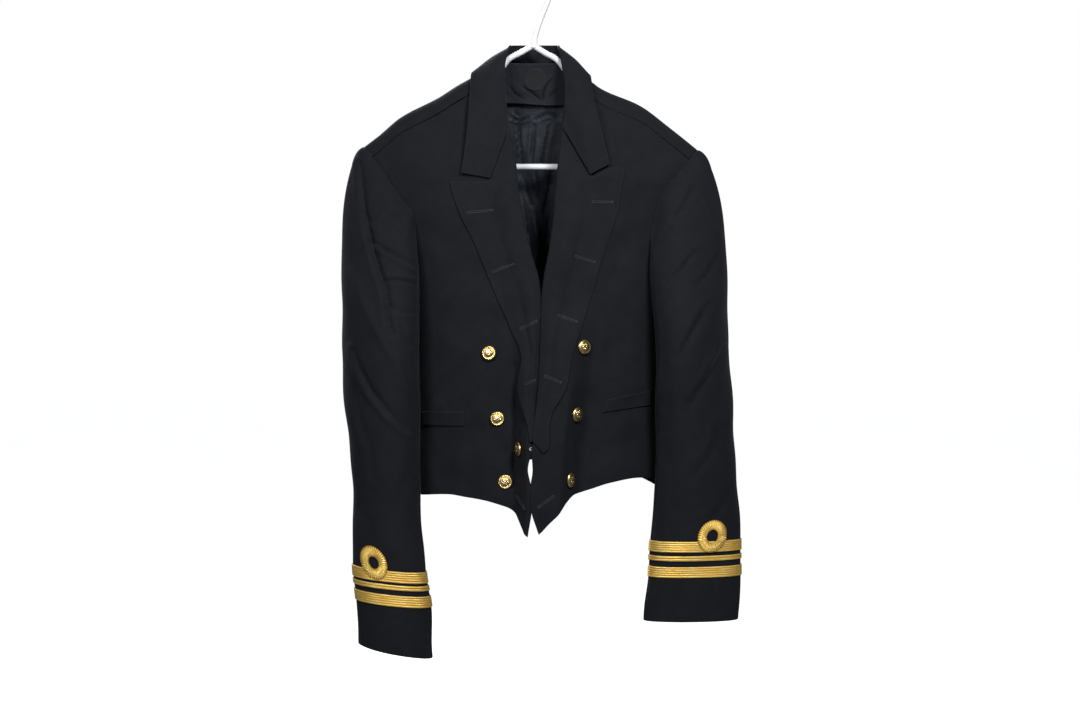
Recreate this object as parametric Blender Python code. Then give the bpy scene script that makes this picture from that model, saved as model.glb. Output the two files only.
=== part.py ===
"""A mess jacket on a plastic hanger.

Sizes are in millimetres: +X to the right as seen from the front, -Y to the front, +Z up. Zero is inside the top of the
hook. Sides are the wearer's: RIGHT is at -X. Cloth is a wall between two grids of points that are worked out from tables.
"""

import math

import bpy
import numpy as np

MM = 0.001
WALL = 2.0
GAP = 0.35
RIGHT = -1
LEFT = 1
FRONT = -1
BACK = 1


def through(xs, ys, at):
    """Smooth monotone curve through (xs, ys), held at its ends."""
    at = np.clip(at, xs[0], xs[-1])
    step = np.diff(xs)
    slope = np.diff(ys) / step
    tangent = np.zeros_like(ys)
    same = slope[:-1] * slope[1:] > 0
    before = np.where(same, slope[:-1], 1.0)
    after = np.where(same, slope[1:], 1.0)
    one = 2 * step[1:] + step[:-1]
    two = step[1:] + 2 * step[:-1]
    tangent[1:-1] = np.where(same, (one + two) / (one / before + two / after), 0)
    tangent[0] = slope[0]
    tangent[-1] = slope[-1]
    i = np.clip(np.searchsorted(xs, at, side="right") - 1, 0, len(step) - 1)
    s = (at - xs[i]) / step[i]
    return (
        ys[i] * (1 + 2 * s) * (1 - s) ** 2
        + step[i] * tangent[i] * s * (1 - s) ** 2
        + ys[i + 1] * s * s * (3 - 2 * s)
        + step[i] * tangent[i + 1] * s * s * (s - 1)
    )


class Table:
    """Short rows with named columns, read at any value of the first column."""

    def __init__(self, columns, *rows):
        self.names = columns.split()
        self.data = np.array(sorted(rows), float).T

    def at(self, column, key):
        return through(self.data[0], self.data[self.names.index(column)], np.asarray(key, float))


# Top line of the shoulders
RIDGE = Table(
    "x z",
    (-240, -246), (-227, -234), (-199, -212), (-173, -190), (-121, -162.6), (-100, -149), (-77, -136), (-60, -126),
    (-45, -115), (0, -96), (45, -115), (60, -128), (73, -140), (87, -151), (139, -174), (178, -203), (217, -234),
    (240, -252),
)

# Half widths and depths of the body
BODY = {
    RIGHT: Table(
        "z front_width back_width front_depth back_depth",
        (-760, 149.5, 149.5, 64, 42), (-671, 149.5, 149.5, 64, 44), (-520, 149.5, 149.5, 66, 46),
        (-480, 150.5, 151, 65, 47), (-455, 152, 152.2, 64, 48), (-400, 159, 185, 61, 50), (-345, 170, 212, 57, 50),
        (-316, 182, 225, 55, 50), (-240, 232, 240, 46, 42), (-150, 245, 245, 40, 34), (-80, 250, 250, 36, 30),
    ),
    LEFT: Table(
        "z front_width back_width front_depth back_depth",
        (-760, 162, 162, 64, 42), (-671, 162, 162, 64, 44), (-520, 161.5, 161.5, 66, 46), (-480, 161.5, 162, 65, 47),
        (-455, 163, 163.2, 64, 48), (-400, 168, 190, 61, 50), (-345, 174, 212, 57, 50), (-316, 182, 225, 55, 50),
        (-240, 228, 238, 46, 42), (-150, 245, 245, 40, 34), (-80, 250, 250, 36, 30),
    ),
}
ROUND = 2.6
SHOULDER_REACH = 120.0
SEAM_DROP = 23.0

# Armhole seams: 0 is the top of the shoulder, 180 the armpit, less than 0 the back; drop is measured from the ridge
ARMHOLE = {
    RIGHT: Table(
        "angle x drop",
        (-180, -152, 278), (-150, -161, 240), (-120, -176, 190), (-95, -186, 140), (-70, -195, 95), (-45, -203, 50),
        (-28, -209, 24), (-12, -215, 8), (0, -219, 0), (12, -214.5, 8), (28, -207, 24), (45, -193.7, 52),
        (62, -179.4, 87), (80, -165, 117), (95, -153.4, 138), (115, -150.4, 165), (140, -150, 215), (160, -151, 252),
        (180, -152, 278),
    ),
    LEFT: Table(
        "angle x drop",
        (-180, 163, 268), (-150, 170, 236), (-120, 180, 190), (-95, 187, 140), (-70, 193, 95), (-45, 199, 50),
        (-28, 204, 24), (-12, 210, 8), (0, 214, 0), (12, 209, 8), (28, 202, 24), (45, 190, 48), (62, 176, 75),
        (80, 164, 104), (95, 156.5, 134), (115, 151.5, 168), (140, 153.5, 210), (160, 160, 246), (180, 163, 268),
    ),
}

# How the sleeve leaves the armhole: outwards, forwards, down
LEAVING = Table(
    "angle out fore down",
    (-180, 24, 0, 40), (-165, 48, -8, 40), (-150, 62, -20, 35), (-120, 62, -45, 50), (-95, 52, -60, 70), (-45, 70, -50, 60), (0, 110, 0, 30),
    (45, 70, 60, 60), (95, 16, 75, 60), (120, -10, 66, 50), (145, -18, 58, 40), (165, -6, 40, 40), (180, 24, 0, 40),
)

# Rings of the sleeves below the armpit
SLEEVE = {
    RIGHT: Table(
        "z outer inner y deep phase tilt",
        (-869, -221.2, -125.9, -64, 37, 6, -0.11), (-814, -224.6, -129.8, -60, 39, 8, -0.1),
        (-764, -227.4, -135, -55, 42, 10, -0.09), (-707, -229.3, -141.5, -49, 46, 12, -0.07),
        (-638, -234, -143, -43, 54, 15, -0.04), (-575, -241, -143.4, -38, 62, 18, -0.02),
        (-517, -246, -143.8, -33, 68, 20, 0), (-487, -247.5, -144, -30, 70, 22, 0),
    ),
    LEFT: Table(
        "z outer inner y deep phase tilt",
        (-833, 260.9, 141, -64, 25, 5, 0.01), (-797, 263.6, 144.3, -60, 29, 6, 0.01),
        (-760, 264.6, 147, -55, 34, 8, 0.01), (-711, 264, 151.1, -49, 40, 10, 0.01),
        (-644, 261, 155.4, -44, 50, 14, 0), (-585, 258.3, 156, -38, 58, 17, 0),
        (-527, 255.5, 155.6, -33, 66, 20, 0), (-487, 253.5, 155.4, -30, 70, 22, 0),
    ),
}
CAP_END = -487.0
CUFF = {RIGHT: -869.0, LEFT: -833.0}

# Front edges, from the tip of the hem up the roll of the lapel to the shoulder seam beside the neck
EDGE = {
    RIGHT: (
        (-6.2, -726.4), (-4.7, -717), (-2.6, -692), (-3.5, -663), (-6.5, -642), (-2.8, -616), (-1.2, -604), (1.8, -567),
        (5.6, -530), (8.1, -479), (9.2, -429), (8, -410), (-0.8, -371.6), (-9, -333), (-16.5, -295), (-22, -256),
        (-31.5, -213), (-40, -187), (-52, -172), (-75, -159.5),
    ),
    LEFT: (
        (7.4, -722.8), (4.8, -715), (0.6, -692), (-0.4, -663), (1, -642), (1.4, -616), (2.6, -604), (5.7, -567),
        (9.5, -530), (12, -479), (13.4, -429), (15.3, -403), (20, -365), (25, -327), (29, -288), (32.6, -256),
        (39, -211), (47, -187), (56, -173), (75, -165.5),
    ),
}

# Hems of the fronts, from the tip to the side
HEM = {
    RIGHT: (
        (-6.2, -726.4), (-10.5, -723.5), (-14, -716), (-17.9, -707.8), (-22.6, -698.4), (-28, -693.3), (-40.4, -688.4),
        (-62, -682.4), (-86.2, -678.4), (-107.9, -675.4), (-149.4, -678),
    ),
    LEFT: (
        (7.4, -722.8), (9.9, -720.9), (20.6, -709.6), (33.9, -696.5), (42.4, -684.3), (52.1, -675.3), (58.5, -672.7),
        (74.3, -667.9), (98.7, -660.6), (135.5, -654.9), (161.9, -657),
    ),
}

# The front edges stand forward of the body: how far, and where the step is
FORWARD = {
    RIGHT: Table(
        "z reach near far",
        (-727, 30, -8, -26), (-697, 32, -7, -25), (-655, 33, -6.5, -24), (-616, 33, -7, -25),
        (-567, 27, -5, -26), (-527, 19, -4, -26), (-477, 8, -2, -28), (-427, 0, -2, -30), (-107, 0, -10, -40),
    ),
    LEFT: Table(
        "z reach near far",
        (-727, 32, 32, 58), (-697, 33, 32, 58), (-655, 33, 33, 60), (-616, 33, 36, 64), (-573, 28, 40, 68),
        (-527, 21, 46, 74), (-487, 13, 50, 80), (-427, 0, 60, 90), (-107, 0, 60, 90),
    ),
}

# Outer edges of the lapels, from the link up to the peak
LAPEL_EDGE = {
    RIGHT: (
        (-4.5, -607), (-7, -580), (-12, -556), (-14.2, -539), (-13.2, -525), (-9.8, -505), (-11, -490),
        (-20, -473), (-33.5, -448), (-47, -423), (-61, -388), (-76, -352.5), (-92.5, -319), (-102.5, -291.5),
        (-106.2, -277.6),
    ),
    LEFT: (
        (11, -607), (21, -596), (21.6, -577), (32.9, -558.5), (43, -535), (48.1, -503), (57.8, -472),
        (72, -429), (85.8, -381.5), (95.6, -351), (108, -314), (113.5, -282.5), (116.3, -268), (116.5, -261),
    ),
}
LAPEL_TOP = {
    RIGHT: (
        (-31.5, -213), (-42.2, -242.5), (-52.4, -271), (-53.6, -275), (-57, -276.8), (-84, -277.6),
        (-106.2, -277.6),
    ),
    LEFT: (
        (39, -211), (49, -228.6), (61, -249.6), (70, -265.6), (72.2, -270), (75.5, -271), (92.6, -263.2),
        (108, -258.2), (116.5, -261),
    ),
}

# Collar sections from the right gorge round the neck to the left gorge: base of the stand, crease, middle and edge of
# the fall
COLLAR = (
    ((-30, -37.5, -208.5), (-31, -49, -208.5), (-54.8, -54, -273.5), (-92, -52, -266.5)),
    ((-32.5, -34, -186), (-34.5, -43, -184), (-58, -54, -218), (-87, -53, -236)),
    ((-35.5, -25, -159), (-36, -32, -155), (-60, -48, -178), (-83, -48, -197)),
    ((-37.5, -13, -136), (-36.5, -18, -126), (-59, -32, -142), (-82, -30, -163)),
    ((-38.5, -2, -112), (-33, -4, -99.5), (-57, -6, -114.5), (-80, -6, -132)),
    ((-33, 15, -112), (-27, 16, -92), (-50, 22, -106), (-72, 26, -134)),
    ((-17, 25.5, -114), (-14, 27, -89), (-24, 38, -99), (-40, 46, -136)),
    ((3, 28, -115), (3, 30, -88), (3, 42, -98), (3, 50, -138)),
    ((22, 25.5, -114), (19, 27, -89), (28, 38, -99), (44, 46, -138)),
    ((38, 15, -112), (32, 16, -93), (52, 22, -108), (72, 26, -138)),
    ((42, -2, -112), (36, -4, -100), (57, -6, -117), (75, -6, -136)),
    ((43, -13, -136), (40, -18, -127), (60, -32, -146), (78, -30, -165)),
    ((42.5, -25, -159), (41.5, -32, -155), (64, -48, -180), (84, -48, -195)),
    ((38.5, -34, -186), (40.5, -43, -184), (66, -54, -216), (92, -53, -232)),
    ((37.5, -38, -208), (38.5, -49, -208), (73.2, -54, -268.5), (98.6, -52, -255)),
)

# Large folds: side, a line over the front of the cloth from (x, z) to (x, z), its half width and its depth
SLEEVE_FOLDS = (
    (RIGHT, -229, -262, -216, -340, 9, 4.5),
    (RIGHT, -216, -340, -188, -420, 10, 6),
    (RIGHT, -188, -420, -181, -490, 10, 5),
    (RIGHT, -224, -512, -168, -578, 10, 3.5),
    (RIGHT, -205, -352, -160, -390, 8, 3.5),
    (RIGHT, -190, -404, -156, -403, 7, 3),
    (LEFT, 203, -292, 178, -334, 14, 3),
    (LEFT, 205, -372, 186, -408, 14, 3),
    (LEFT, 218, -452, 190, -504, 16, 3.5),
    (LEFT, 246, -498, 204, -560, 18, 3.5),
)
BODY_FOLDS = (
    (RIGHT, -87, -502, -110, -548, 12, 3),
    (RIGHT, -76, -596, -78, -660, 12, 3),
    (LEFT, 51, -572, 53, -620, 7, 2.5),
)

# Buttons: name, side, x, z, distance off the curved cloth
BUTTONS = (
    ("button_right_upper", RIGHT, -55.5, -495.7, 0.05),
    ("button_right_middle", RIGHT, -44.8, -578.7, 0.05),
    ("button_right_lower", RIGHT, -34.8, -658.6, 0.6),
    ("button_left_upper", LEFT, 64.3, -488.2, 0.6),
    ("button_left_middle", LEFT, 54.6, -573, 0.7),
    ("button_left_lower", LEFT, 46.5, -655.1, 0.2),
    ("link_button", RIGHT, -16.5, -616.2, 0.6),
)
BUTTON_RADIUS = 9.4

# Pocket welts: corners at the outer top, inner top, inner bottom, outer bottom
WELTS = {
    RIGHT: ((-141, -570.2), (-86.3, -569.5), (-87.6, -588.3), (-141, -588)),
    LEFT: ((150, -543.5), (94.3, -554.2), (88.4, -571), (150, -562.5)),
}

# Neck label
LABEL = {"x": 3.3, "z": -138.0, "radius": 14.0}

# Gold lace of the cuffs: name, middle height at the sleeve's centre, half width
LACE = {
    RIGHT: (("upper", -774.6, 7.2), ("middle", -787.9, 3.3), ("lower", -804.6, 7.2)),
    LEFT: (("upper", -738.8, 6.9), ("middle", -753.4, 3.3), ("lower", -770.6, 6.9)),
}
LACE_WALL = 1.2
LACE_GAP = 0.7
CURL = {
    RIGHT: {"x": -197.5, "z": -755.5, "outer": (16.2, 19.5), "inner": (6.2, 7.2), "lean": 0.16},
    LEFT: {"x": 222.5, "z": -722.5, "outer": (18.2, 20.5), "inner": (6.8, 8.6), "lean": 0.0},
}

# Hanger
TUBE = 3.9
HOOK_RADIUS = 24.0
ARMS = Table(
    "x z",
    (-212, -239), (-205, -232), (-173, -205), (-121, -173), (-77, -150.5), (-60, -141.5), (-45, -130.5), (-31, -113),
    (0, -96.5), (31, -114), (45, -131), (60, -145), (73, -155.2), (87, -165), (139, -185), (178, -213), (203, -233),
    (212, -241),
)


def smooth(low, high, x):
    t = np.clip((x - low) / (high - low), 0, 1)
    return t * t * (3 - 2 * t)


def along(points, share):
    """Points at shares of a polyline's length."""
    points = np.array(points, float)
    length = np.concatenate([[0], np.cumsum(np.linalg.norm(np.diff(points, axis=0), axis=1))])
    return np.stack([through(length / length[-1], column, share) for column in points.T], axis=-1)


def creases(side, x, z, folds):
    """Depth of the folds at points seen from the front."""
    depth = np.zeros(np.broadcast(x, z).shape)
    for fold_side, x0, z0, x1, z1, half, deep in folds:
        if fold_side != side:
            continue
        run = np.array([x1 - x0, z1 - z0])
        size = run @ run
        t = np.clip(((x - x0) * run[0] + (z - z0) * run[1]) / size, 0, 1)
        away = np.hypot(x - x0 - t * run[0], z - z0 - t * run[1])
        depth += deep * np.exp(-((away / half) ** 2)) * (0.35 + 0.65 * np.sin(math.pi * np.clip(t, 0.08, 0.92)))
    return depth


def body_y(side, face, x, z, out=0.0):
    """Depth of the body's skin at (x, z), moved out by a distance."""
    rows = BODY[side]
    name = "front" if face == FRONT else "back"
    width = rows.at(name + "_width", z) + out
    depth = rows.at(name + "_depth", z) + out
    across = (1 - np.clip(np.abs(x) / width, 0, 1) ** ROUND) ** (1 / ROUND)
    drop = np.clip((RIDGE.at("z", x) + out - z) / SHOULDER_REACH, 0, 1)
    fall = (1 - (1 - drop) ** 2.2) ** 0.5556
    y = face * depth * across * fall
    if face == FRONT:
        step = FORWARD[side]
        near = step.at("near", z)
        far = step.at("far", z)
        reach = step.at("reach", z)
        y = y - reach * (1 - smooth(near, far, x) if side == LEFT else smooth(far, near, x))
        y = y + creases(side, x, z, BODY_FOLDS)
    return y


def on_front(side, xz):
    return np.stack([xz[..., 0], body_y(side, FRONT, xz[..., 0], xz[..., 1]), xz[..., 1]], axis=-1)


def armhole(side, angle):
    """Seam of the armhole at angles in degrees."""
    table = ARMHOLE[side]
    x = table.at("x", angle)
    z = RIDGE.at("z", x) - table.at("drop", angle)
    y = np.where(angle > 0, body_y(side, FRONT, x, z), body_y(side, BACK, x, z))
    return np.stack([x, np.where(angle == 0, 0, y), z], axis=-1)


def ends_dense(count):
    """Shares from 0 to 1, closer together at both ends."""
    return (1 - np.cos(np.linspace(0, math.pi, count))) / 2


def front_outline(side):
    """Side seam and armhole of a front, from the hem to the shoulder seam."""
    hem = HEM[side][-1]
    table = BODY[side]
    seam = [(side * (table.at("front_width", z) - 0.05), z) for z in np.linspace(hem[1], -470, 6)]
    hole = armhole(side, np.array([180, 170, 160, 140, 115, 95, 80, 62, 45, 28.0]))
    return [(float(x), float(z)) for x, z in seam] + [(p[0], p[2]) for p in hole]


def front_grid(side, rows, columns):
    """Points of a front, rows from the hem to the shoulder seam, columns from the front edge to the side."""
    v = np.linspace(0, 1, rows)
    f = ends_dense(columns)
    inner = along(EDGE[side], v)[:, None, :]
    outer = along(front_outline(side), v)[:, None, :]
    xz = inner + (outer - inner) * f[None, :, None]
    hem = np.array(HEM[side], float)
    share = (hem[:, 0] - hem[0, 0]) / (hem[-1, 0] - hem[0, 0])
    shape = through(share, hem[:, 1], f) - (hem[0, 1] + (hem[-1, 1] - hem[0, 1]) * f)
    xz[..., 1] += shape[None, :] * ((1 - smooth(0, 0.35, v)) ** 1.5)[:, None]
    seam = RIDGE.at("z", xz[-1, :, 0]) - 24.2
    corner = xz[-1, [0, -1], 1]
    top = seam - seam[0] + corner[0] - (corner[0] + (corner[1] - corner[0]) * f)
    top -= f * top[-1]
    xz[..., 1] += top[None, :] * (smooth(0.72, 1, v) ** 1.5)[:, None]
    return on_front(side, xz)


def back_grid(rows_up):
    """Points of the back from its hem up over the ridge to the shoulder seams."""
    neck_side = np.array([22, 38, 50, 60, 72, 92, 116, 141, 163, 181, 194, 201])
    f = np.concatenate([[0], 0.5 - neck_side[::-1] / 410, [0.5], 0.5 + neck_side / 410, [1]])
    angles = np.concatenate([[-180, -165, -150, -135, -120, -95, -70, -45, -28, -12, -4, 0], [4, 12, 16, 20, 24, 28]])
    angles = np.array(angles, float)
    sides = {}
    for side in (RIGHT, LEFT):
        hem = HEM[side][-1][1]
        z = np.linspace(hem, -475, rows_up)
        x = side * (BODY[side].at("back_width", z) - 0.05)
        hole_x = ARMHOLE[side].at("x", angles)
        drop = ARMHOLE[side].at("drop", angles) * np.where(angles > 0, -SEAM_DROP / 24, 1)
        sides[side] = (np.concatenate([x, hole_x]), np.concatenate([RIDGE.at("z", x) - z, drop]))
    left = sides[RIGHT][0][:, None]
    right = sides[LEFT][0][:, None]
    x = left + (right - left) * f[None, :]
    drop_left = sides[RIGHT][1]
    drop_right = sides[LEFT][1]
    share_left = (drop_left - drop_left[-1]) / (drop_left[0] - drop_left[-1])
    share_right = (drop_right - drop_right[-1]) / (drop_right[0] - drop_right[-1])
    share = share_left[:, None] * (1 - f)[None, :] + share_right[:, None] * f[None, :]
    hem_z = -622 - 46 * np.abs(2 * f - 1) ** 1.7
    hem_z[0] = HEM[RIGHT][-1][1]
    hem_z[-1] = HEM[LEFT][-1][1]
    hem_drop = RIDGE.at("z", x[0]) - hem_z
    neck = Table(
        "x drop", (0, 24), (26, 16), (40, 8), (50, 0), (60, -12), (72, -SEAM_DROP), (230, -SEAM_DROP)
    )
    end_drop = neck.at("drop", np.abs(x[-1] - 3 * (np.abs(x[-1]) < 70)))
    drop = end_drop[None, :] + (hem_drop - end_drop)[None, :] * share
    z = RIDGE.at("z", x) - np.abs(drop)
    y = np.empty_like(x)
    for side, mask in ((RIGHT, x < 0), (LEFT, x >= 0)):
        behind = body_y(side, BACK, x, z)
        before = body_y(side, FRONT, x, z)
        y = np.where(mask, np.where(drop >= 0, behind, before), y)
    return np.stack([x, y, z], axis=-1)


def ring(side, z, turn):
    """Ring of a sleeve at height z; turn 0 is next to the body, 90 the front, 180 outside."""
    rows = SLEEVE[side]
    outer = rows.at("outer", z)
    inner = rows.at("inner", z)
    middle = (outer + inner) / 2
    x = middle + (inner - middle) * np.cos(turn)
    y = rows.at("y", z) - rows.at("deep", z) * np.sin(turn + np.radians(rows.at("phase", z)))
    return np.stack([x, y, z + rows.at("tilt", z) * (x - middle)], axis=-1)


def sleeve_grid(side, angles, caps, levels):
    """Points of a sleeve: rows down the cap, then down the rings; a column for each angle round the armhole."""
    angles = np.asarray(angles, float)
    turn = np.radians(180 - angles - 40 * np.sin(np.radians(angles / 2)) ** 2)
    start = armhole(side, angles) + np.array([side * 1.1, 0, 0])
    end = ring(side, np.full_like(turn, CAP_END), turn)
    away = np.stack(
        [side * LEAVING.at("out", angles), -LEAVING.at("fore", angles), -LEAVING.at("down", angles)], axis=-1
    )
    down = np.zeros_like(end)
    down[:, 2] = -1.15 * (start[:, 2] - end[:, 2])
    s = np.asarray(caps, float)[:, None, None]
    cap = (
        start * (1 + 2 * s) * (1 - s) ** 2 + away * s * (1 - s) ** 2 + end * s * s * (3 - 2 * s) + down * s * s * (s - 1)
    )
    z = np.asarray(levels, float)
    rings = ring(side, np.repeat(z[:, None], len(turn), 1), np.repeat(turn[None, :], len(z), 0))
    grid = np.concatenate([cap, rings])
    normal = normals(grid, loop=False)
    facing = np.clip(-normal[..., 1], 0, 1)
    depth = creases(side, grid[..., 0], grid[..., 2], SLEEVE_FOLDS) * smooth(0.05, 0.6, facing)
    depth[0] = 0
    return grid - normal * depth[..., None]


def normals(grid, loop):
    """Unit normals of a grid, turned outwards from its middle."""
    if loop:
        across = np.roll(grid, -1, 1) - np.roll(grid, 1, 1)
    else:
        across = np.gradient(grid, axis=1)
    up = np.gradient(grid, axis=0)
    normal = np.cross(across, up)
    normal /= np.maximum(np.linalg.norm(normal, axis=-1, keepdims=True), 1e-9)
    return normal


def outward(grid, normal, centre):
    """The normals, flipped all together when they point at a centre."""
    lean = ((grid - centre) * normal).sum()
    return normal if lean > 0 else -normal


def solid(name, points, faces, colour):
    mesh = bpy.data.meshes.new(name)
    mesh.from_pydata([tuple(p * MM) for p in points], [], faces)
    mesh.validate()
    obj = bpy.data.objects.new(name, mesh)
    bpy.context.scene.collection.objects.link(obj)
    material = bpy.data.materials.get(colour) or bpy.data.materials.new(colour)
    mesh.materials.append(material)
    return obj


def shell(name, outer, inner, colour, loop=False):
    """Closed wall between two grids; loop joins the last column to the first."""
    rows, columns, _ = outer.shape
    count = rows * columns
    points = np.concatenate([outer.reshape(-1, 3), inner.reshape(-1, 3)])
    last = columns if loop else columns - 1

    def at(i, j, deep=0):
        return deep * count + i * columns + j % columns

    faces = []
    for i in range(rows - 1):
        for j in range(last):
            faces.append((at(i, j), at(i, j + 1), at(i + 1, j + 1), at(i + 1, j)))
            faces.append((at(i, j, 1), at(i + 1, j, 1), at(i + 1, j + 1, 1), at(i, j + 1, 1)))
    for j in range(last):
        faces.append((at(0, j), at(0, j, 1), at(0, j + 1, 1), at(0, j + 1)))
        faces.append((at(rows - 1, j), at(rows - 1, j + 1), at(rows - 1, j + 1, 1), at(rows - 1, j, 1)))
    if not loop:
        for i in range(rows - 1):
            faces.append((at(i, 0), at(i + 1, 0), at(i + 1, 0, 1), at(i, 0, 1)))
            end = columns - 1
            faces.append((at(i, end), at(i, end, 1), at(i + 1, end, 1), at(i + 1, end)))
    volume = 0.0
    for face in faces:
        a = points[face[0]]
        for k in (1, 2):
            volume += np.dot(a, np.cross(points[face[k]], points[face[k + 1]]))
    if volume < 0:
        faces = [face[::-1] for face in faces]
    return solid(name, points, faces, colour)


def cloth(name, grid, centre, colour, low=-WALL, high=0.0, loop=False):
    """A wall from low to high off a grid, measured away from a centre."""
    normal = outward(grid, normals(grid, loop), np.array(centre, float))
    low = np.asarray(low, float)
    high = np.asarray(high, float)
    inner = grid + normal * (low[..., None] if low.ndim else low)
    outer = grid + normal * (high[..., None] if high.ndim else high)
    return shell(name, outer, inner, colour, loop)


def tube_points(path, radius, sides, closed):
    path = np.array(path, float)
    if closed:
        ahead = np.roll(path, -1, 0) - np.roll(path, 1, 0)
    else:
        ahead = np.gradient(path, axis=0)
    ahead /= np.linalg.norm(ahead, axis=1, keepdims=True)
    one = np.array([0, 1.0, 0])
    two = np.cross(ahead, one)
    two /= np.linalg.norm(two, axis=1, keepdims=True)
    turn = np.arange(sides) * 2 * math.pi / sides
    radius = np.broadcast_to(radius, len(path))
    return path[:, None] + radius[:, None, None] * (
        np.cos(turn)[None, :, None] * one + np.sin(turn)[None, :, None] * two[:, None]
    )


def tube(name, path, radius, sides, colour, closed=False):
    grid = tube_points(path, radius, sides, closed)
    rows = len(grid)
    points = grid.reshape(-1, 3)
    faces = []
    for i in range(rows if closed else rows - 1):
        for j in range(sides):
            k = (j + 1) % sides
            ahead = (i + 1) % rows
            faces.append((i * sides + j, ahead * sides + j, ahead * sides + k, i * sides + k))
    if not closed:
        faces.append(tuple(range(sides)))
        faces.append(tuple((rows - 1) * sides + j for j in reversed(range(sides))))
    volume = 0.0
    for face in faces:
        for k in range(1, len(face) - 1):
            volume += np.dot(points[face[0]], np.cross(points[face[k]], points[face[k + 1]]))
    if volume < 0:
        faces = [face[::-1] for face in faces]
    return solid(name, points, faces, colour)


def lathe(name, profile, centre, axis, sides, colour):
    """Turned solid: profile of (radius, height) pairs, its ends on the axis."""
    axis = np.array(axis, float) / np.linalg.norm(axis)
    one = np.cross(axis, [0, 0, 1.0])
    one /= np.linalg.norm(one)
    two = np.cross(axis, one)
    turn = np.arange(sides) * 2 * math.pi / sides
    points = [np.array(centre, float) + axis * profile[0][1]]
    for radius, height in profile[1:-1]:
        for angle in turn:
            points.append(centre + axis * height + radius * (math.cos(angle) * one + math.sin(angle) * two))
    points.append(centre + axis * profile[-1][1])
    faces = []
    last = len(points) - 1
    rings = len(profile) - 2
    for j in range(sides):
        k = (j + 1) % sides
        faces.append((0, 1 + k, 1 + j))
        faces.append((last, 1 + (rings - 1) * sides + j, 1 + (rings - 1) * sides + k))
        for i in range(rings - 1):
            a = 1 + i * sides
            faces.append((a + j, a + k, a + sides + k, a + sides + j))
    points = np.array(points)
    volume = sum(
        np.dot(points[f[0]], np.cross(points[f[k]], points[f[k + 1]])) for f in faces for k in range(1, len(f) - 1)
    )
    if volume < 0:
        faces = [face[::-1] for face in faces]
    return solid(name, points, faces, colour)


def front_frame(side, x, z):
    """A point of the front's skin and the direction that it faces."""
    step = 3.0
    here = np.array([x, float(body_y(side, FRONT, np.array(x), np.array(z))), z])
    dx = float(body_y(side, FRONT, np.array(x + step), np.array(z)) - body_y(side, FRONT, np.array(x - step), np.array(z)))
    dz = float(body_y(side, FRONT, np.array(x), np.array(z + step)) - body_y(side, FRONT, np.array(x), np.array(z - step)))
    facing = np.array([dx / (2 * step), -1, dz / (2 * step)])
    return here, facing / np.linalg.norm(facing)


def clear_scene():
    for obj in list(bpy.data.objects):
        bpy.data.objects.remove(obj)


def body():
    inside = (0, 0, -420)
    for side, name in ((RIGHT, "front_right"), (LEFT, "front_left")):
        cloth(name, front_grid(side, 22, 14), inside, "wool")
    back = back_grid(5)
    back_wall(back)


def back_wall(grid):
    normal = outward(grid, normals(grid, False), np.array([0, -40, -420.0]))
    shell("back", grid, grid - normal * WALL, "wool")
    inside = grid - normal * (WALL + 2 * GAP)
    deep = grid - normal * (WALL + 2 * GAP + 1.0)
    shell("back_lining", inside[1:14, 1:-1], deep[1:14, 1:-1], "satin")


def lapels():
    for side, name in ((RIGHT, "lapel_right"), (LEFT, "lapel_left")):
        roll = [p for p in EDGE[side] if -611 < p[1] < -205]
        roll[0] = (roll[0][0], -607.0)
        v = np.linspace(0, 1, 18)
        f = np.array([0, 0.04, 0.1, 0.2, 0.35, 0.556, 0.59, 0.78, 1.0])
        inner = along(roll, v)[:, None, :]
        outer = along(LAPEL_EDGE[side], v)[:, None, :]
        xz = inner + (outer - inner) * f[None, :, None]
        top = along(LAPEL_TOP[side], f)
        share = smooth(0.68, 1, v) ** 1.6
        xz += (top - xz[-1])[None] * share[:, None, None]
        grid = on_front(side, xz)
        lift = 4.0 * np.sin(math.pi * np.clip(f / 0.5, 0, 1)) * (np.clip(v * 3, 0, 1) - smooth(0.8, 0.97, v))[:, None]
        lift += 0.5
        cloth(name, grid, (0, 0, -420), "wool", GAP + lift, GAP + WALL + lift)


def collar():
    sections = np.array(COLLAR, float)
    across = np.array([0, 0.16, 0.28, 1 / 3, 0.39, 0.48, 0.58, 2 / 3, 0.83, 1.0])
    profile = np.stack([along_axis(sections, across, k) for k in range(3)], axis=-1)
    rows = np.linspace(0, 1, 31)
    grid = np.stack(
        [np.stack([spread(profile[:, j, k], rows) for k in range(3)], axis=-1) for j in range(len(across))], axis=1
    )
    fall = across >= 0.39
    clear = WALL + GAP + 0.3
    for side in (RIGHT, LEFT):
        mask = (grid[..., 0] < 0) if side == RIGHT else (grid[..., 0] >= 0)
        mask = mask & fall[None, :]
        front = body_y(side, FRONT, grid[..., 0], grid[..., 2], clear)
        back = body_y(side, BACK, grid[..., 0], grid[..., 2], clear)
        low = grid[..., 2] < RIDGE.at("z", grid[..., 0]) + clear
        ahead = grid[..., 1] < 0
        grid[..., 1] = np.where(mask & low & ahead, np.minimum(grid[..., 1], front), grid[..., 1])
        grid[..., 1] = np.where(mask & low & ~ahead, np.maximum(grid[..., 1], back), grid[..., 1])
    normal = normals(grid, False)
    middle = grid[15, -2]
    if (normal[15, -2] * (middle - np.array([3, 0, middle[2]]))).sum() < 0:
        normal = -normal
    shell("collar", grid, grid - normal * WALL, "wool")


def along_axis(sections, at, k):
    """One coordinate of every section; the two gorge ends keep their corners sharp."""
    keys = np.array([0, 1 / 3, 2 / 3, 1])
    values = [through(keys, row[:, k], at) for row in sections]
    for end in (0, -1):
        values[end] = np.interp(at, keys, sections[end][:, k])
    return np.array(values)


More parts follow.
